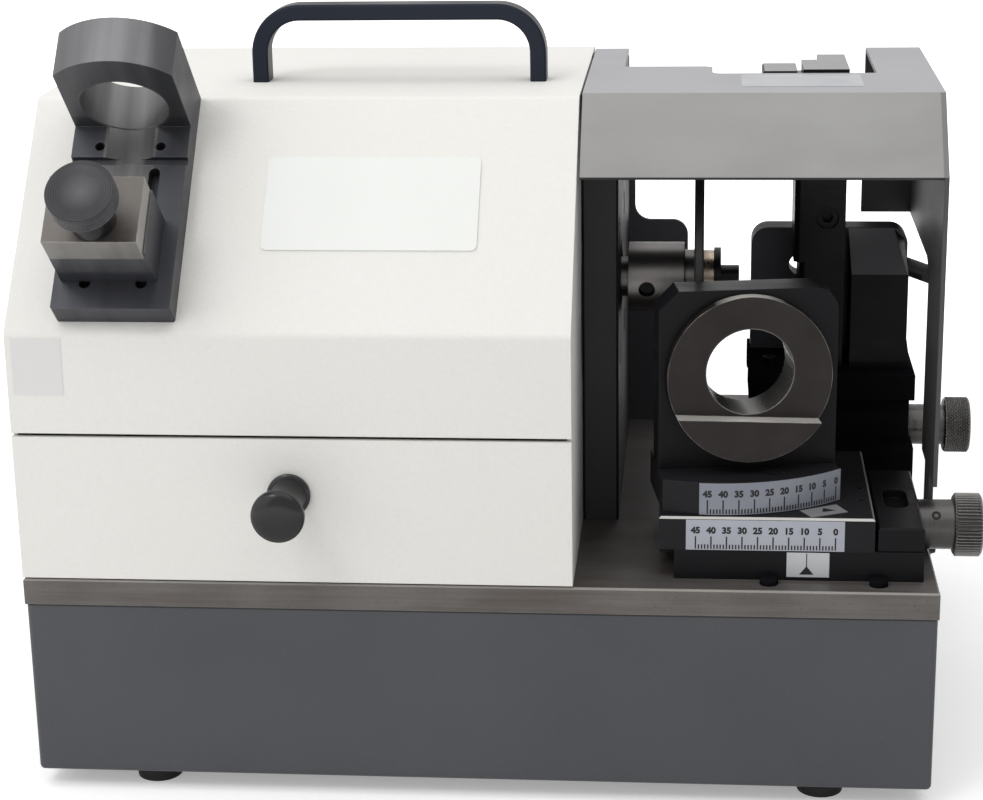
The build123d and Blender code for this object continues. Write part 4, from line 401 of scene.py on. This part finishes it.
stopSteel = makeFinish("stopSteel", dict(
    color=(0.245, 0.235, 0.225), toneColor=(0.20, 0.191, 0.18), toneScale=60.0,
    rough=0.42, roughSpread=0.06, metal=0.6, bump=0.003, round=0.4,
    grainStretch=(0.05, 1.0, 1.0), grainColor=(0.26, 0.247, 0.23), grainTint=0.3,
    grainRough=0.04, grainBump=0.002, wearAndGlint=0.8, wearAndGlintWidth=0.6, wearAndGlintColor=(0.50, 0.47, 0.43),
    streakColor=(0.055, 0.049, 0.044), streakScale=130.0, streakStretch=(1.0, 0.12, 0.12),
    streakTint=0.3,
    # painted shade on the cap's top faces and painted light on its right faces
    patches=(dict(facing=(slopeOut, 0.9, 0.98), color=(0.092, 0.082, 0.075), amount=0.9),
             dict(facing=(rightward, 0.9, 0.98), color=(0.46, 0.44, 0.41), amount=0.8))))
spindleSteel = makeFinish("spindleSteel", dict(
    color=(0.185, 0.175, 0.170), toneColor=(0.15, 0.142, 0.136), toneScale=50.0,
    rough=0.36, roughSpread=0.03, metal=0.95, bump=0.001, round=0.3,
    grainStretch=(1.0, 0.02, 0.02), grainScale=1600.0, grainColor=(0.225, 0.215, 0.208),
    grainTint=0.2, grainRough=0.015, grainBump=0.0001))
knurled = dict(
    color=(0.080, 0.076, 0.074), toneColor=(0.058, 0.055, 0.053), toneScale=80.0,
    rough=0.33, roughSpread=0.06, metal=0.85, bump=0.002, round=0.15,
    grainStretch=(1.0, 0.03, 0.03), grainScale=1500.0, grainColor=(0.115, 0.11, 0.105),
    grainTint=0.3, grainRough=0.04, grainBump=0.001,
    wearAndGlint=0.6, wearAndGlintWidth=0.35, wearAndGlintColor=(0.40, 0.39, 0.37))
knobSteel = makeFinish("knobSteel", knurled)
toothSteel = makeFinish("toothSteel", dict(
    knurled, color=(0.19, 0.183, 0.178), toneColor=(0.145, 0.139, 0.135)))
wheelSteel = makeFinish("wheelSteel", dict(
    color=(0.028, 0.027, 0.027), toneColor=(0.020, 0.0195, 0.0195), toneScale=120.0,
    rough=0.5, roughSpread=0.08, metal=0.3, specular=0.25, bump=0.03, bumpScale=2500.0,
    ringAxis="X", ringCentre=hinges["spindle_spin"], ringScale=300.0,
    ringColor=(0.05, 0.049, 0.048), ringTint=0.4, grainBump=0.004))
brassFlange = makeFinish("brassFlange", dict(
    color=(0.37, 0.31, 0.24), toneColor=(0.30, 0.25, 0.195), toneScale=120.0,
    rough=0.3, roughSpread=0.06, metal=1.0, bump=0.002, round=0.2,
    grainStretch=(1.0, 0.03, 0.03), grainScale=1800.0, grainColor=(0.31, 0.265, 0.215),
    grainTint=0.4, grainRough=0.05))
screwBlack = makeFinish("screwBlack", dict(
    color=(0.0075, 0.0075, 0.0085), toneColor=(0.012, 0.0118, 0.0125), toneScale=200.0,
    rough=0.36, roughSpread=0.06, specular=0.16, bump=0.004, bumpScale=2500.0, round=0.2,
    wearAndGlint=0.3, wearAndGlintWidth=0.3, wearAndGlintColor=(0.08, 0.08, 0.08)))
footRubber = makeFinish("footRubber", dict(
    color=(0.010, 0.010, 0.0105), toneColor=(0.016, 0.016, 0.016), toneScale=90.0,
    rough=0.72, roughSpread=0.06, specular=0.3, bump=0.03, bumpScale=1400.0, round=0.8))
knobGloss = makeFinish("knobGloss", dict(
    color=(0.0065, 0.0065, 0.0075), toneColor=(0.010, 0.010, 0.011), toneScale=70.0,
    rough=0.22, roughSpread=0.04, specular=0.26, coat=0.12, coatRough=0.12,
    bump=0.006, bumpScale=600.0))
socketPlastic = makeFinish("socketPlastic", dict(
    color=(0.014, 0.014, 0.015), toneColor=(0.020, 0.020, 0.021), toneScale=90.0,
    rough=0.5, bump=0.015, bumpScale=2200.0, round=0.4))
rockerPlastic = makeFinish("rockerPlastic", dict(
    color=(0.02, 0.02, 0.021), toneColor=(0.027, 0.027, 0.028), toneScale=120.0,
    rough=0.28, roughSpread=0.04, bump=0.004, round=0.4))
traySheet = makeFinish("traySheet", dict(
    color=(0.40, 0.40, 0.39), toneColor=(0.33, 0.33, 0.325), toneScale=40.0,
    rough=0.42, roughSpread=0.08, metal=0.8, bump=0.006, round=0.3,
    grainStretch=(0.04, 1.0, 1.0), grainColor=(0.47, 0.47, 0.46), grainTint=0.35, grainRough=0.05))
motorMetal = makeFinish("motorMetal", dict(
    color=(0.28, 0.28, 0.28), toneColor=(0.23, 0.23, 0.23), toneScale=60.0,
    rough=0.45, metal=0.9, bump=0.03, round=0.4))
plateWhite = makeFinish("plateWhite", dict(
    color=(0.785, 0.795, 0.77), toneColor=(0.76, 0.77, 0.745), toneScale=30.0,
    rough=0.34, roughSpread=0.04, specular=0.4, bump=0.004, bumpScale=500.0))
tapeFilm = dict(toneScale=60.0, rough=0.34, specular=0.3, bump=0.006, bumpScale=260.0)
slideFilm = makeFinish("slideFilm", dict(
    tapeFilm, color=(0.40, 0.415, 0.465), toneColor=(0.365, 0.38, 0.43)))
# painted shade: the degree tape is a darker copy of the slide's scale tape
degreeFilm = makeFinish("degreeFilm", dict(
    tapeFilm, color=(0.235, 0.247, 0.287), toneColor=(0.21, 0.221, 0.258)))
# painted shade: the askew pointer tape lying flat on top is a darker copy of the pointer tape
arrowFilm = makeFinish("arrowFilm", dict(
    tapeFilm, color=(0.22, 0.222, 0.228), toneColor=(0.195, 0.197, 0.203)))
pointerFilm = makeFinish("pointerFilm", dict(
    tapeFilm, color=(0.54, 0.55, 0.565), toneColor=(0.50, 0.51, 0.53)))
stickerFilm = dict(tapeFilm, bump=0.004, bumpScale=400.0)
stickerClear = makeFinish("stickerClear", dict(
    stickerFilm, color=(0.705, 0.695, 0.685), toneColor=(0.68, 0.67, 0.66), rough=0.36))
stickerGrey = makeFinish("stickerGrey", dict(
    stickerFilm, color=(0.395, 0.40, 0.42), toneColor=(0.37, 0.375, 0.395)))
scaleInk = makeFinish("scaleInk", dict(
    color=(0.008, 0.008, 0.010), toneColor=(0.015, 0.015, 0.017), toneScale=900.0,
    rough=0.45, specular=0.25, bump=0.002, bumpScale=3000.0))
thumbSteel = makeFinish("thumbSteel", dict(
    color=(0.0185, 0.0185, 0.022), toneColor=(0.012, 0.012, 0.0145), toneScale=90.0,
    rough=0.40, roughSpread=0.06, metal=0.6, bump=0.002,
    ringAxis="Z", ringCentre=thumbCentre, ringTurn=(slopeAngle, 0, 0), ringScale=430.0,
    ringWander=0.6, ringColor=(0.055, 0.055, 0.061), ringTint=0.4,
    grainRough=0.05, grainBump=0.0016, wearAndGlint=0.5, wearAndGlintWidth=0.4, wearAndGlintColor=(0.20, 0.20, 0.208),
    # painted highlight: a pale spot in the middle of the head's dish
    patches=(dict(bore=(thumbCentre, slopeOut, 0.8), soft=6.0,
                  color=(0.092, 0.091, 0.094), amount=0.55),)))

nodeFinish = {
    housingPaint: ("housing_cover", "drawer_front"),
    boxPaint: ("base_box",),
    guardPaint: ("guard_hood",),
    plateSteel: ("base_plate",),
    blackAnodised: ("slide_base", "end_block", "holder_block", "column_screw"),
    slideBlack: ("rear_base", "rear_slide", "locating_pins"),
    boxBlack: ("side_box",),
    wallBlack: ("upright",),
    shieldBlack: ("rear_shield", "rear_plate"),
    armBlack: ("column", "column_arm"),
    slideAnodised: ("cross_slide", "swivel_base"),
    handlePaint: ("carry_handle",),
    indexSteel: ("index_ring",),
    setterSteel: ("setter_body", "stop_block", "thumb_screw"),
    stopSteel: ("stop_cap",),
    spindleSteel: ("motor_rotor", "wheel_arbor", "pivot_pin", "motor_bearings"),
    knobSteel: ("front_feed_screw", "front_knob", "rear_feed_screw", "rear_knob"),
    wheelSteel: ("grinding_wheel",),
    brassFlange: ("wheel_flange", "front_feed_nut", "rear_feed_nut"),
    screwBlack: ("handle_screws", "m4_flat_screws", "m4_pan_screws", "m5_cap_screws",
                 "arbor_set_screw", "clamp_washer", "wheel_bolt", "swivel_lock_screw",
                 "holder_screws", "clamp_lever", "setter_screws"),
    footRubber: ("rubber_feet",),
    knobGloss: ("drawer_knob",),
    socketPlastic: ("mains_inlet", "switch_bezel"),
    rockerPlastic: ("switch_rocker",),
    traySheet: ("cover_bracket", "drawer_runners", "drawer_tray"),
    motorMetal: ("motor_stator", "motor_front_bell"),
    plateWhite: ("name_plate",),
}
for mat, names in nodeFinish.items():
    for name in names:
        frame["nodes"][name].data.materials.clear()
        frame["nodes"][name].data.materials.append(mat)
print("finishes on", sum(len(names) for names in nodeFinish.values()), "nodes")


def addPiece(name, shape, mat, body):
    verts, faces = shape
    mesh = bpy.data.meshes.new(name)
    mesh.from_pydata([tuple(v) for v in verts], [], faces)
    mesh.update()
    piece = bpy.data.objects.new(name, mesh)
    collection.objects.link(piece)
    mesh.materials.append(mat)
    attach(piece, body)
    return piece


def slab(place, t):  # a thin tape laid on a face by place(u, v, w)
    (u0, u1), (v0, v1), (w0, w1) = t["across"], t["up"], t["out"]
    steps = t.get("steps", 1)
    verts, faces = [], []
    for i in range(steps + 1):
        u = u0 + (u1 - u0) * i / steps
        verts += [place(u, v0, w0), place(u, v1, w0), place(u, v1, w1), place(u, v0, w1)]
    for i in range(steps):
        a, b = 4 * i, 4 * i + 4
        for k in range(4):
            m = (k + 1) % 4
            faces.append((a + k, b + k, b + m, a + m))
    end = 4 * steps
    faces += [(0, 1, 2, 3), (end + 3, end + 2, end + 1, end)]
    return verts, faces


def digits(text, size, bold):  # flat outline of a number, centred on its foot
    curve = bpy.data.curves.new("digits", "FONT")
    curve.body = text
    curve.size = size
    curve.offset = bold
    curve.align_x = "CENTER"
    curve.resolution_u = 3
    holder = bpy.data.objects.new("digits", curve)
    collection.objects.link(holder)
    bpy.context.view_layer.update()
    drawn = holder.evaluated_get(bpy.context.evaluated_depsgraph_get())
    mesh = bpy.data.meshes.new_from_object(drawn)
    verts = [tuple(v.co) for v in mesh.vertices]
    faces = [tuple(p.vertices) for p in mesh.polygons]
    bpy.data.objects.remove(holder)
    bpy.data.curves.remove(curve)
    bpy.data.meshes.remove(mesh)
    return verts, faces


def printScale(place, s, zeroAt, step):  # ticks and numbers on a tape, 0 at the right
    verts, faces = [], []

    def add(points, polygons):
        base = len(verts)
        verts.extend(points)
        faces.extend([tuple(i + base for i in p) for p in polygons])

    foot, half = s["tickFoot"], s["tickWidth"] / 2
    for k in range(s["count"] + 1):
        u = zeroAt - k * step
        numbered = k % s["numberEvery"] == 0
        top = foot + (s["longTick"] if numbered else s["shortTick"])
        corners = ((u - half, foot), (u + half, foot), (u + half, top), (u - half, top))
        add([place(x, y, s["lift"]) for x, y in corners], [(0, 1, 2, 3)])
        if numbered:
            flat, polygons = digits(str(k), s["digitSize"], s["digitBold"])
            add([place(u + x, s["digitFoot"] + y, s["lift"]) for x, y, z in flat], polygons)
    return verts, faces


def roundAbout(origin, axis):  # points by millimetres along an axis, radius and angle
    axis = axis.normalized()
    first = axis.orthogonal().normalized()
    second = axis.cross(first)

    def point(along, radius, a):
        return origin + (axis * along + (first * math.cos(a) + second * math.sin(a)) * radius) * mm

    return point


def turned(origin, axis, profile, segments, knurl=None):  # a profile of (along, radius)
    point = roundAbout(origin, axis)
    verts, faces = [], []
    for i, (along, radius) in enumerate(profile):
        for k in range(segments):
            a = 2 * math.pi * k / segments
            verts.append(point(along, radius + (knurl(i, along, a) if knurl else 0.0), a))
    for i in range(len(profile) - 1):
        row, above = i * segments, (i + 1) * segments
        for k in range(segments):
            m = (k + 1) % segments
            faces.append((row + k, row + m, above + m, above + k))
    faces.append(tuple(range(segments - 1, -1, -1)))
    last = (len(profile) - 1) * segments
    faces.append(tuple(range(last, last + segments)))
    return verts, faces


def crossed(grip, first, last):  # diamond knurl between two rows of a profile
    pitch = 2 * math.pi * grip["radius"] / grip["teeth"]

    def depth(i, along, a):
        if not first <= i <= last:
            return 0.0
        arc = a * grip["radius"]
        one = abs(((arc + along) / pitch) % 1.0 - 0.5) * 2
        two = abs(((arc - along) / pitch) % 1.0 - 0.5) * 2
        return -grip["depth"] * max(one, two) ** grip["flank"]

    return depth


def straight(grip, first, last):  # straight teeth between two rows of a profile
    def depth(i, along, a):
        if not first <= i <= last:
            return 0.0
        return -grip["depth"] * (0.5 + 0.5 * math.cos(a * grip["teeth"])) ** grip["flank"]

    return depth


def knurledKnob(origin, axis, g, knurl):  # a turned piece with a knurl from start to end
    low, high = g["grip"]
    rows, first = g["rows"], len(g["start"])
    grip = [(low + (high - low) * k / rows, g["radius"]) for k in range(rows + 1)]
    profile = [*g["start"], *grip, *g["end"]]
    return turned(origin, axis, profile, g["segments"], knurl(g, first, first + rows))


def smoothBy(piece, degrees):  # soft where faces meet flatly, sharp elsewhere
    piece.data.shade_smooth()
    piece.data.set_sharp_from_angle(angle=math.radians(degrees))


# Millimetre tape on the front of the cross slide
slideTape = dict(across=(8.8, 59.8), up=(0.0, 10.3), out=(0.01, 0.16), low=10.15, face=10.0,
                 zero=56.9, step=1.0, count=45, numberEvery=5, lift=0.2,
                 tickFoot=0.35, shortTick=1.55, longTick=4.3, tickWidth=0.46,
                 digitSize=2.95, digitBold=0.16, digitFoot=5.75)
slideLeft = leftOf("cross_slide")


def slideFace(u, v, w):
    return at(slideLeft + u, slideTape["face"] - w, slideTape["low"] + v)


addPiece("slideTape", slab(slideFace, slideTape), slideFilm, "cross_slide")
slideMarks = printScale(slideFace, slideTape, slideTape["zero"], slideTape["step"])
addPiece("slideTapeMarks", slideMarks, scaleInk, "cross_slide")

# Degree tape round the swivel base
degreeArc = math.radians(1.0) * swivel["radius"]
arcTape = dict(first=-14.0, last=36.45, zero=34.3, stretch=1.015, low=21.55, steps=48,
               up=(0.0, 10.75), out=(0.02, 0.16), count=45, numberEvery=5, lift=0.2,
               tickFoot=0.4, shortTick=1.55, longTick=4.7, tickWidth=0.46,
               digitSize=2.95, digitBold=0.16, digitFoot=6.1)
arcTape["across"] = 0.0, (arcTape["last"] - arcTape["first"]) * degreeArc


def arcFace(u, v, w):
    a = math.radians(arcTape["first"]) + u / swivel["radius"]
    r = swivel["radius"] + w
    return onSwivel(r * math.sin(a), -r * math.cos(a), arcTape["low"] + v)


addPiece("degreeTape", slab(arcFace, arcTape), degreeFilm, "swivel")
arcZero = (arcTape["zero"] - arcTape["first"]) * degreeArc
degreeMarks = printScale(arcFace, arcTape, arcZero, degreeArc * arcTape["stretch"])
addPiece("degreeTapeMarks", degreeMarks, scaleInk, "swivel")
print("scales printed")

# Pointer tape on the slide base: a line with an arrow under it
slidePointer = dict(across=(36.4, 50.1), up=(1.2, 9.6), out=(0.01, 0.16), face=10.0,
                    line=((42.65, 4.6), (42.95, 4.6), (42.95, 9.4), (42.65, 9.4)), lineLift=0.2,
                    arrow=((40.5, 2.1), (45.1, 2.1), (42.8, 5.0)), arrowLift=0.22)
baseLeft = leftOf("slide_base")


def baseFace(u, v, w):
    return at(baseLeft + u, slidePointer["face"] - w, v)


addPiece("slidePointerTape", slab(baseFace, slidePointer), pointerFilm, "base")
pointerMarks = [baseFace(x, z, slidePointer["lineLift"]) for x, z in slidePointer["line"]]
pointerMarks += [baseFace(x, z, slidePointer["arrowLift"]) for x, z in slidePointer["arrow"]]
pointerFaces = [(0, 1, 2, 3), (4, 5, 6)]
addPiece("slidePointerMark", (pointerMarks, pointerFaces), scaleInk, "base")

# Pointer tape that lies askew on the cross slide
swivelPointer = dict(corners=((45.6, 17.4), (49.2, 10.95), (61.1, 16.6), (57.6, 23.8)),
                     mark=((52.8, 16.0), (57.2, 17.9), (53.2, 19.9)),
                     top=21.3, out=(0.01, 0.16), lift=0.2)


def slideTop(x, y, w):
    return at(slideLeft + x, y, swivelPointer["top"] + w)


tapeEnds = [slideTop(x, y, w) for w in swivelPointer["out"] for x, y in swivelPointer["corners"]]
tapeSides = [(3, 2, 1, 0), (4, 5, 6, 7), (0, 1, 5, 4), (1, 2, 6, 5), (2, 3, 7, 6), (3, 0, 4, 7)]
addPiece("swivelPointerTape", (tapeEnds, tapeSides), arrowFilm, "cross_slide")
markEnds = [slideTop(x, y, swivelPointer["lift"]) for x, y in swivelPointer["mark"]]
addPiece("swivelPointerMark", (markEnds, [(0, 1, 2)]), scaleInk, "cross_slide")

# Bare stickers on the apron and the guard
apronSticker = dict(across=(2.0, 18.5), up=(63.5, 82.5), out=(0.01, 0.12))
apronShape = slab(lambda u, v, w: at(u, -w, v), apronSticker)
addPiece("apronSticker", apronShape, stickerClear, "base")
guardSticker = dict(across=(235.2, 275.5), up=(71.0, 96.0), out=(0.01, 0.12), top=151.0)
guardShape = slab(lambda u, v, w: at(u, v, guardSticker["top"] + w), guardSticker)
addPiece("guardSticker", guardShape, stickerGrey, "base")
print("tapes and stickers placed")

# Rear feed knob with a diamond knurl
rearGrip = dict(start=((0.0, 9.1), (0.4, 9.62)), grip=(0.8, 8.2), radius=9.9,
                end=((8.6, 9.62), (9.0, 9.1), (9.0, 6.0), (8.5, 5.6), (8.5, 0.4)),
                teeth=50, depth=0.55, flank=2, rows=44, segments=480)
alongX = Vector((1, 0, 0))
rearAxis = hinges["rear_knob_turn"]
start = Vector((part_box("rear_knob")[0].x, rearAxis.y, rearAxis.z))
rearShape = knurledKnob(start, alongX, rearGrip, crossed)
rearKnobGrip = addPiece("rearKnobGrip", rearShape, knobSteel, "rear_screw")
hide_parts("rear_knob")

# Front feed knob with straight teeth
frontGrip = dict(start=((0.0, 9.5), (0.4, 10.12)), grip=(0.8, 8.6), radius=10.6,
                 end=((9.0, 10.12), (9.4, 9.5), (9.4, 6.4), (8.9, 6.0), (8.9, 0.4)),
                 teeth=54, depth=1.0, flank=0.7, rows=6, segments=648)
frontAxis = hinges["front_knob_turn"]
start = Vector((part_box("front_knob")[0].x, frontAxis.y, frontAxis.z))
frontShape = knurledKnob(start, alongX, frontGrip, straight)
frontKnobGrip = addPiece("frontKnobGrip", frontShape, toothSteel, "front_screw")
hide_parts("front_knob")

# Thumb screw: a shank, a neck and a finely knurled head with a dish
thumbGrip = dict(up=20.8, foot=36.7, radius=10.9, grip=(12.2, 17.7),
                 start=((-21.5, 2.5), (-21.0, 3.0), (0.0, 3.0), (0.0, 6.8), (0.4, 7.2),
                        (11.4, 7.2), (11.7, 7.5), (11.7, 10.4), (12.0, 10.75)),
                 brim=((18.05, 10.75), (18.3, 10.35), (18.3, 9.5)), top=18.3,
                 dish=0.6, dishRadius=9.3,
                 dishRings=(1.0, 0.93, 0.82, 0.67, 0.52, 0.36, 0.2, 0.09, 0.02),
                 teeth=72, depth=0.22, flank=2, rows=26, segments=432)
dish = [(thumbGrip["top"] - thumbGrip["dish"] * (1 - r * r), thumbGrip["dishRadius"] * r)
        for r in thumbGrip["dishRings"]]
thumbGrip["end"] = [*thumbGrip["brim"], *dish]
start = onSlope((thumbCentre.x - plateLow.x) / mm, thumbGrip["up"], thumbGrip["foot"])
thumbShape = knurledKnob(start, slopeOut, thumbGrip, crossed)
thumbKnob = addPiece("thumbKnob", thumbShape, thumbSteel, "thumb")
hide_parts("thumb_screw")

# Drawer knob: a stud, a flange, a waist and a low domed head with a thin rim
drawerGrip = dict(flange=((-2.0, 2.0), (0.0, 2.0), (0.0, 6.8), (0.3, 7.1), (1.6, 7.1),
                          (2.0, 6.6), (2.15, 6.1)),
                  waist=4.5, waistEnds=(6.1, 7.2), waistFlare=2.4, waistSteps=16,
                  head=((19.8, 7.4), (20.05, 8.25), (20.4, 8.6), (21.3, 8.6)),
                  dome=3.1, domeRise=0.8, domeFall=0.75, domeSteps=14, segments=96, smooth=35)
profile = list(drawerGrip["flange"])
waistStart, headStart = drawerGrip["flange"][-1][0], drawerGrip["head"][0][0]
for k in range(1, drawerGrip["waistSteps"]):
    f = k / drawerGrip["waistSteps"]
    flare = abs(2 * f - 1) ** drawerGrip["waistFlare"]
    edge = drawerGrip["waistEnds"][0 if f < 0.5 else 1]
    radius = drawerGrip["waist"] + (edge - drawerGrip["waist"]) * flare
    profile.append((waistStart + (headStart - waistStart) * f, radius))
profile += drawerGrip["head"]
rimEnd, rimRadius = drawerGrip["head"][-1]
for k in range(1, drawerGrip["domeSteps"]):
    a = math.radians(90) * k / drawerGrip["domeSteps"]
    rise = drawerGrip["dome"] * math.sin(a) ** drawerGrip["domeRise"]
    profile.append((rimEnd + rise, rimRadius * math.cos(a) ** drawerGrip["domeFall"]))
knobLow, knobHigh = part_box("drawer_knob")
knobMid = (knobLow + knobHigh) / 2
start = Vector((knobMid.x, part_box("drawer_front")[0].y, knobMid.z))
drawerShape = turned(start, Vector(frontward), profile, drawerGrip["segments"])
drawerKnob = addPiece("drawerKnob", drawerShape, knobGloss, "drawer")
smoothBy(drawerKnob, drawerGrip["smooth"])
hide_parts("drawer_knob")
print("knobs turned")

# A screw's round end with a six-sided socket
screwEnd = dict(edgeDepth=0.12, edge=0.15, land=0.25, socketShare=0.6, corners=6)


def socketScrew(origin, axis, s):
    rim, corner = s["segments"], math.pi / screwEnd["corners"]
    profile = [(-s["deep"], s["radius"]), (-screwEnd["edgeDepth"], s["radius"]),
               (0.0, s["radius"] - screwEnd["edge"]), (0.0, s["socket"] + screwEnd["land"])]
    verts, faces = turned(origin, axis, profile, rim)
    faces = faces[:-1]  # the end stays open for the socket
    point = roundAbout(origin, axis)
    last, base = (len(profile) - 1) * rim, len(verts)
    for depth in (0.0, -s["deep"] * screwEnd["socketShare"]):
        for k in range(rim):
            a = 2 * math.pi * k / rim
            flat = s["socket"] * math.cos(corner)
            verts.append(point(depth, flat / math.cos((a % (2 * corner)) - corner), a))
    for k in range(rim):
        m = (k + 1) % rim
        faces.append((last + k, last + m, base + m, base + k))
        faces.append((base + k, base + m, base + rim + m, base + rim + k))
    faces.append(tuple(range(base + rim, base + 2 * rim)))
    return verts, faces


# Set screws in the feed collars
collarScrew = dict(radius=1.5, socket=0.8, deep=1.2, segments=24, tilt=math.radians(40),
                   beforeKnob=6.0, proud=0.12, frontCollar=8.3, rearCollar=7.2)
outward = Vector((0, -math.cos(collarScrew["tilt"]), math.sin(collarScrew["tilt"])))
for name, knobNode, axis, body, collar in (
        ("frontCollarScrew", "front_knob", frontAxis, "front_screw", collarScrew["frontCollar"]),
        ("rearCollarScrew", "rear_knob", rearAxis, "rear_screw", collarScrew["rearCollar"])):
    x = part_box(knobNode)[0].x - collarScrew["beforeKnob"] * mm
    start = Vector((x, axis.y, axis.z)) + outward * (collar + collarScrew["proud"]) * mm
    addPiece(name, socketScrew(start, outward, collarScrew), screwBlack, body)

# Cap screw on the rear slide
slideScrew = dict(x=247.0, y=106.0, radius=2.3, deep=2.4, socket=1.1, segments=36)
start = at(slideScrew["x"], slideScrew["y"], 0)
start.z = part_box("rear_slide")[1].z + slideScrew["deep"] * mm
capShape = socketScrew(start, Vector(upward), slideScrew)
addPiece("rearSlideScrew", capShape, screwBlack, "rear_slide")
print("small screws set")

# Floor, backdrop and soft light
stageSet = dict(floorColor=(0.90, 0.90, 0.90), floorRough=0.9, floorSpecular=0.1, wide=9.0,
                drop=-0.0002, glowNear=0.30, glowFar=1.0, fadeFrom=0.30, fadeTo=0.75,
                worldLight=0.435, worldSeen=1.0, aim=(0, 0, 0.12))
white = (1, 1, 1, 1)


def seenRays(tree):  # 1 for what the camera sees straight, mirrored or through glass
    path = tree.nodes.new("ShaderNodeLightPath")
    source = path, "Is Camera Ray"
    for ray in ("Is Glossy Ray", "Is Transmission Ray"):
        either = tree.nodes.new("ShaderNodeMath")
        either.operation = "MAXIMUM"
        wire(tree, source, either, 0)
        wire(tree, (path, ray), either, 1)
        source = either, 0
    return source


floorMat = bpy.data.materials.new("paleFloor")
floorMat.use_nodes = True
tree = floorMat.node_tree
floorShader = tree.nodes["Principled BSDF"]
floorShader.inputs["Base Color"].default_value = (*stageSet["floorColor"], 1)
floorShader.inputs["Roughness"].default_value = stageSet["floorRough"]
floorShader.inputs["Specular IOR Level"].default_value = stageSet["floorSpecular"]
floorShader.inputs["Emission Color"].default_value = white
away = tree.nodes.new("ShaderNodeVectorMath")
away.operation = "LENGTH"
wire(tree, (tree.nodes.new("ShaderNodeTexCoord"), "Object"), away, 0)
fade = tree.nodes.new("ShaderNodeMapRange")
fade.interpolation_type = "SMOOTHSTEP"
fade.inputs["From Min"].default_value = stageSet["fadeFrom"]
fade.inputs["From Max"].default_value = stageSet["fadeTo"]
fade.inputs["To Min"].default_value = stageSet["glowNear"]
fade.inputs["To Max"].default_value = stageSet["glowFar"]
wire(tree, (away, "Value"), fade, "Value")
glow = tree.nodes.new("ShaderNodeMath")
glow.operation = "MULTIPLY"
wire(tree, seenRays(tree), glow, 0)
wire(tree, (fade, 0), glow, 1)
wire(tree, (glow, 0), floorShader, "Emission Strength")
half = stageSet["wide"] / 2
floorEnds = ((-half, -half), (half, -half), (half, half), (-half, half))
floorMesh = bpy.data.meshes.new("floor")
floorMesh.from_pydata([(x, y, stageSet["drop"]) for x, y in floorEnds], [], [(0, 1, 2, 3)])
floorMesh.materials.append(floorMat)
floor = bpy.data.objects.new("floor", floorMesh)
collection.objects.link(floor)

world = bpy.data.worlds.new("studio")
bpy.context.scene.world = world
world.use_nodes = True
tree = world.node_tree
back = tree.nodes["Background"]
back.inputs["Color"].default_value = white
power = tree.nodes.new("ShaderNodeMapRange")
power.inputs["To Min"].default_value = stageSet["worldLight"]
power.inputs["To Max"].default_value = stageSet["worldSeen"]
wire(tree, seenRays(tree), power, "Value")
wire(tree, (power, 0), back, "Strength")

lightSet = dict(
    key=dict(spot=(-0.75, -0.55, 0.58), size=(1.3, 1.1), watts=4.0),
    glint=dict(spot=(-0.42, -0.72, 0.95), size=(0.25, 0.25), watts=1.2),
    front=dict(spot=(0.0, -0.35, 1.5), size=(2.2, 1.8), watts=10.6),
    top=dict(spot=(0.0, 0.42, 1.5), size=(2.2, 1.8), watts=6.4))
for name, box in lightSet.items():
    light = bpy.data.lights.new(name + "Light", "AREA")
    light.shape = "RECTANGLE"
    light.size, light.size_y = box["size"]
    light.energy = box["watts"]
    lamp = bpy.data.objects.new(name + "Light", light)
    collection.objects.link(lamp)
    lamp.visible_camera = False
    lamp.location = box["spot"]
    toward = Vector(stageSet["aim"]) - Vector(box["spot"])
    lamp.rotation_euler = toward.to_track_quat("-Z", "Y").to_euler()
bpy.context.scene.view_settings.view_transform = "Standard"
print("stage lit")
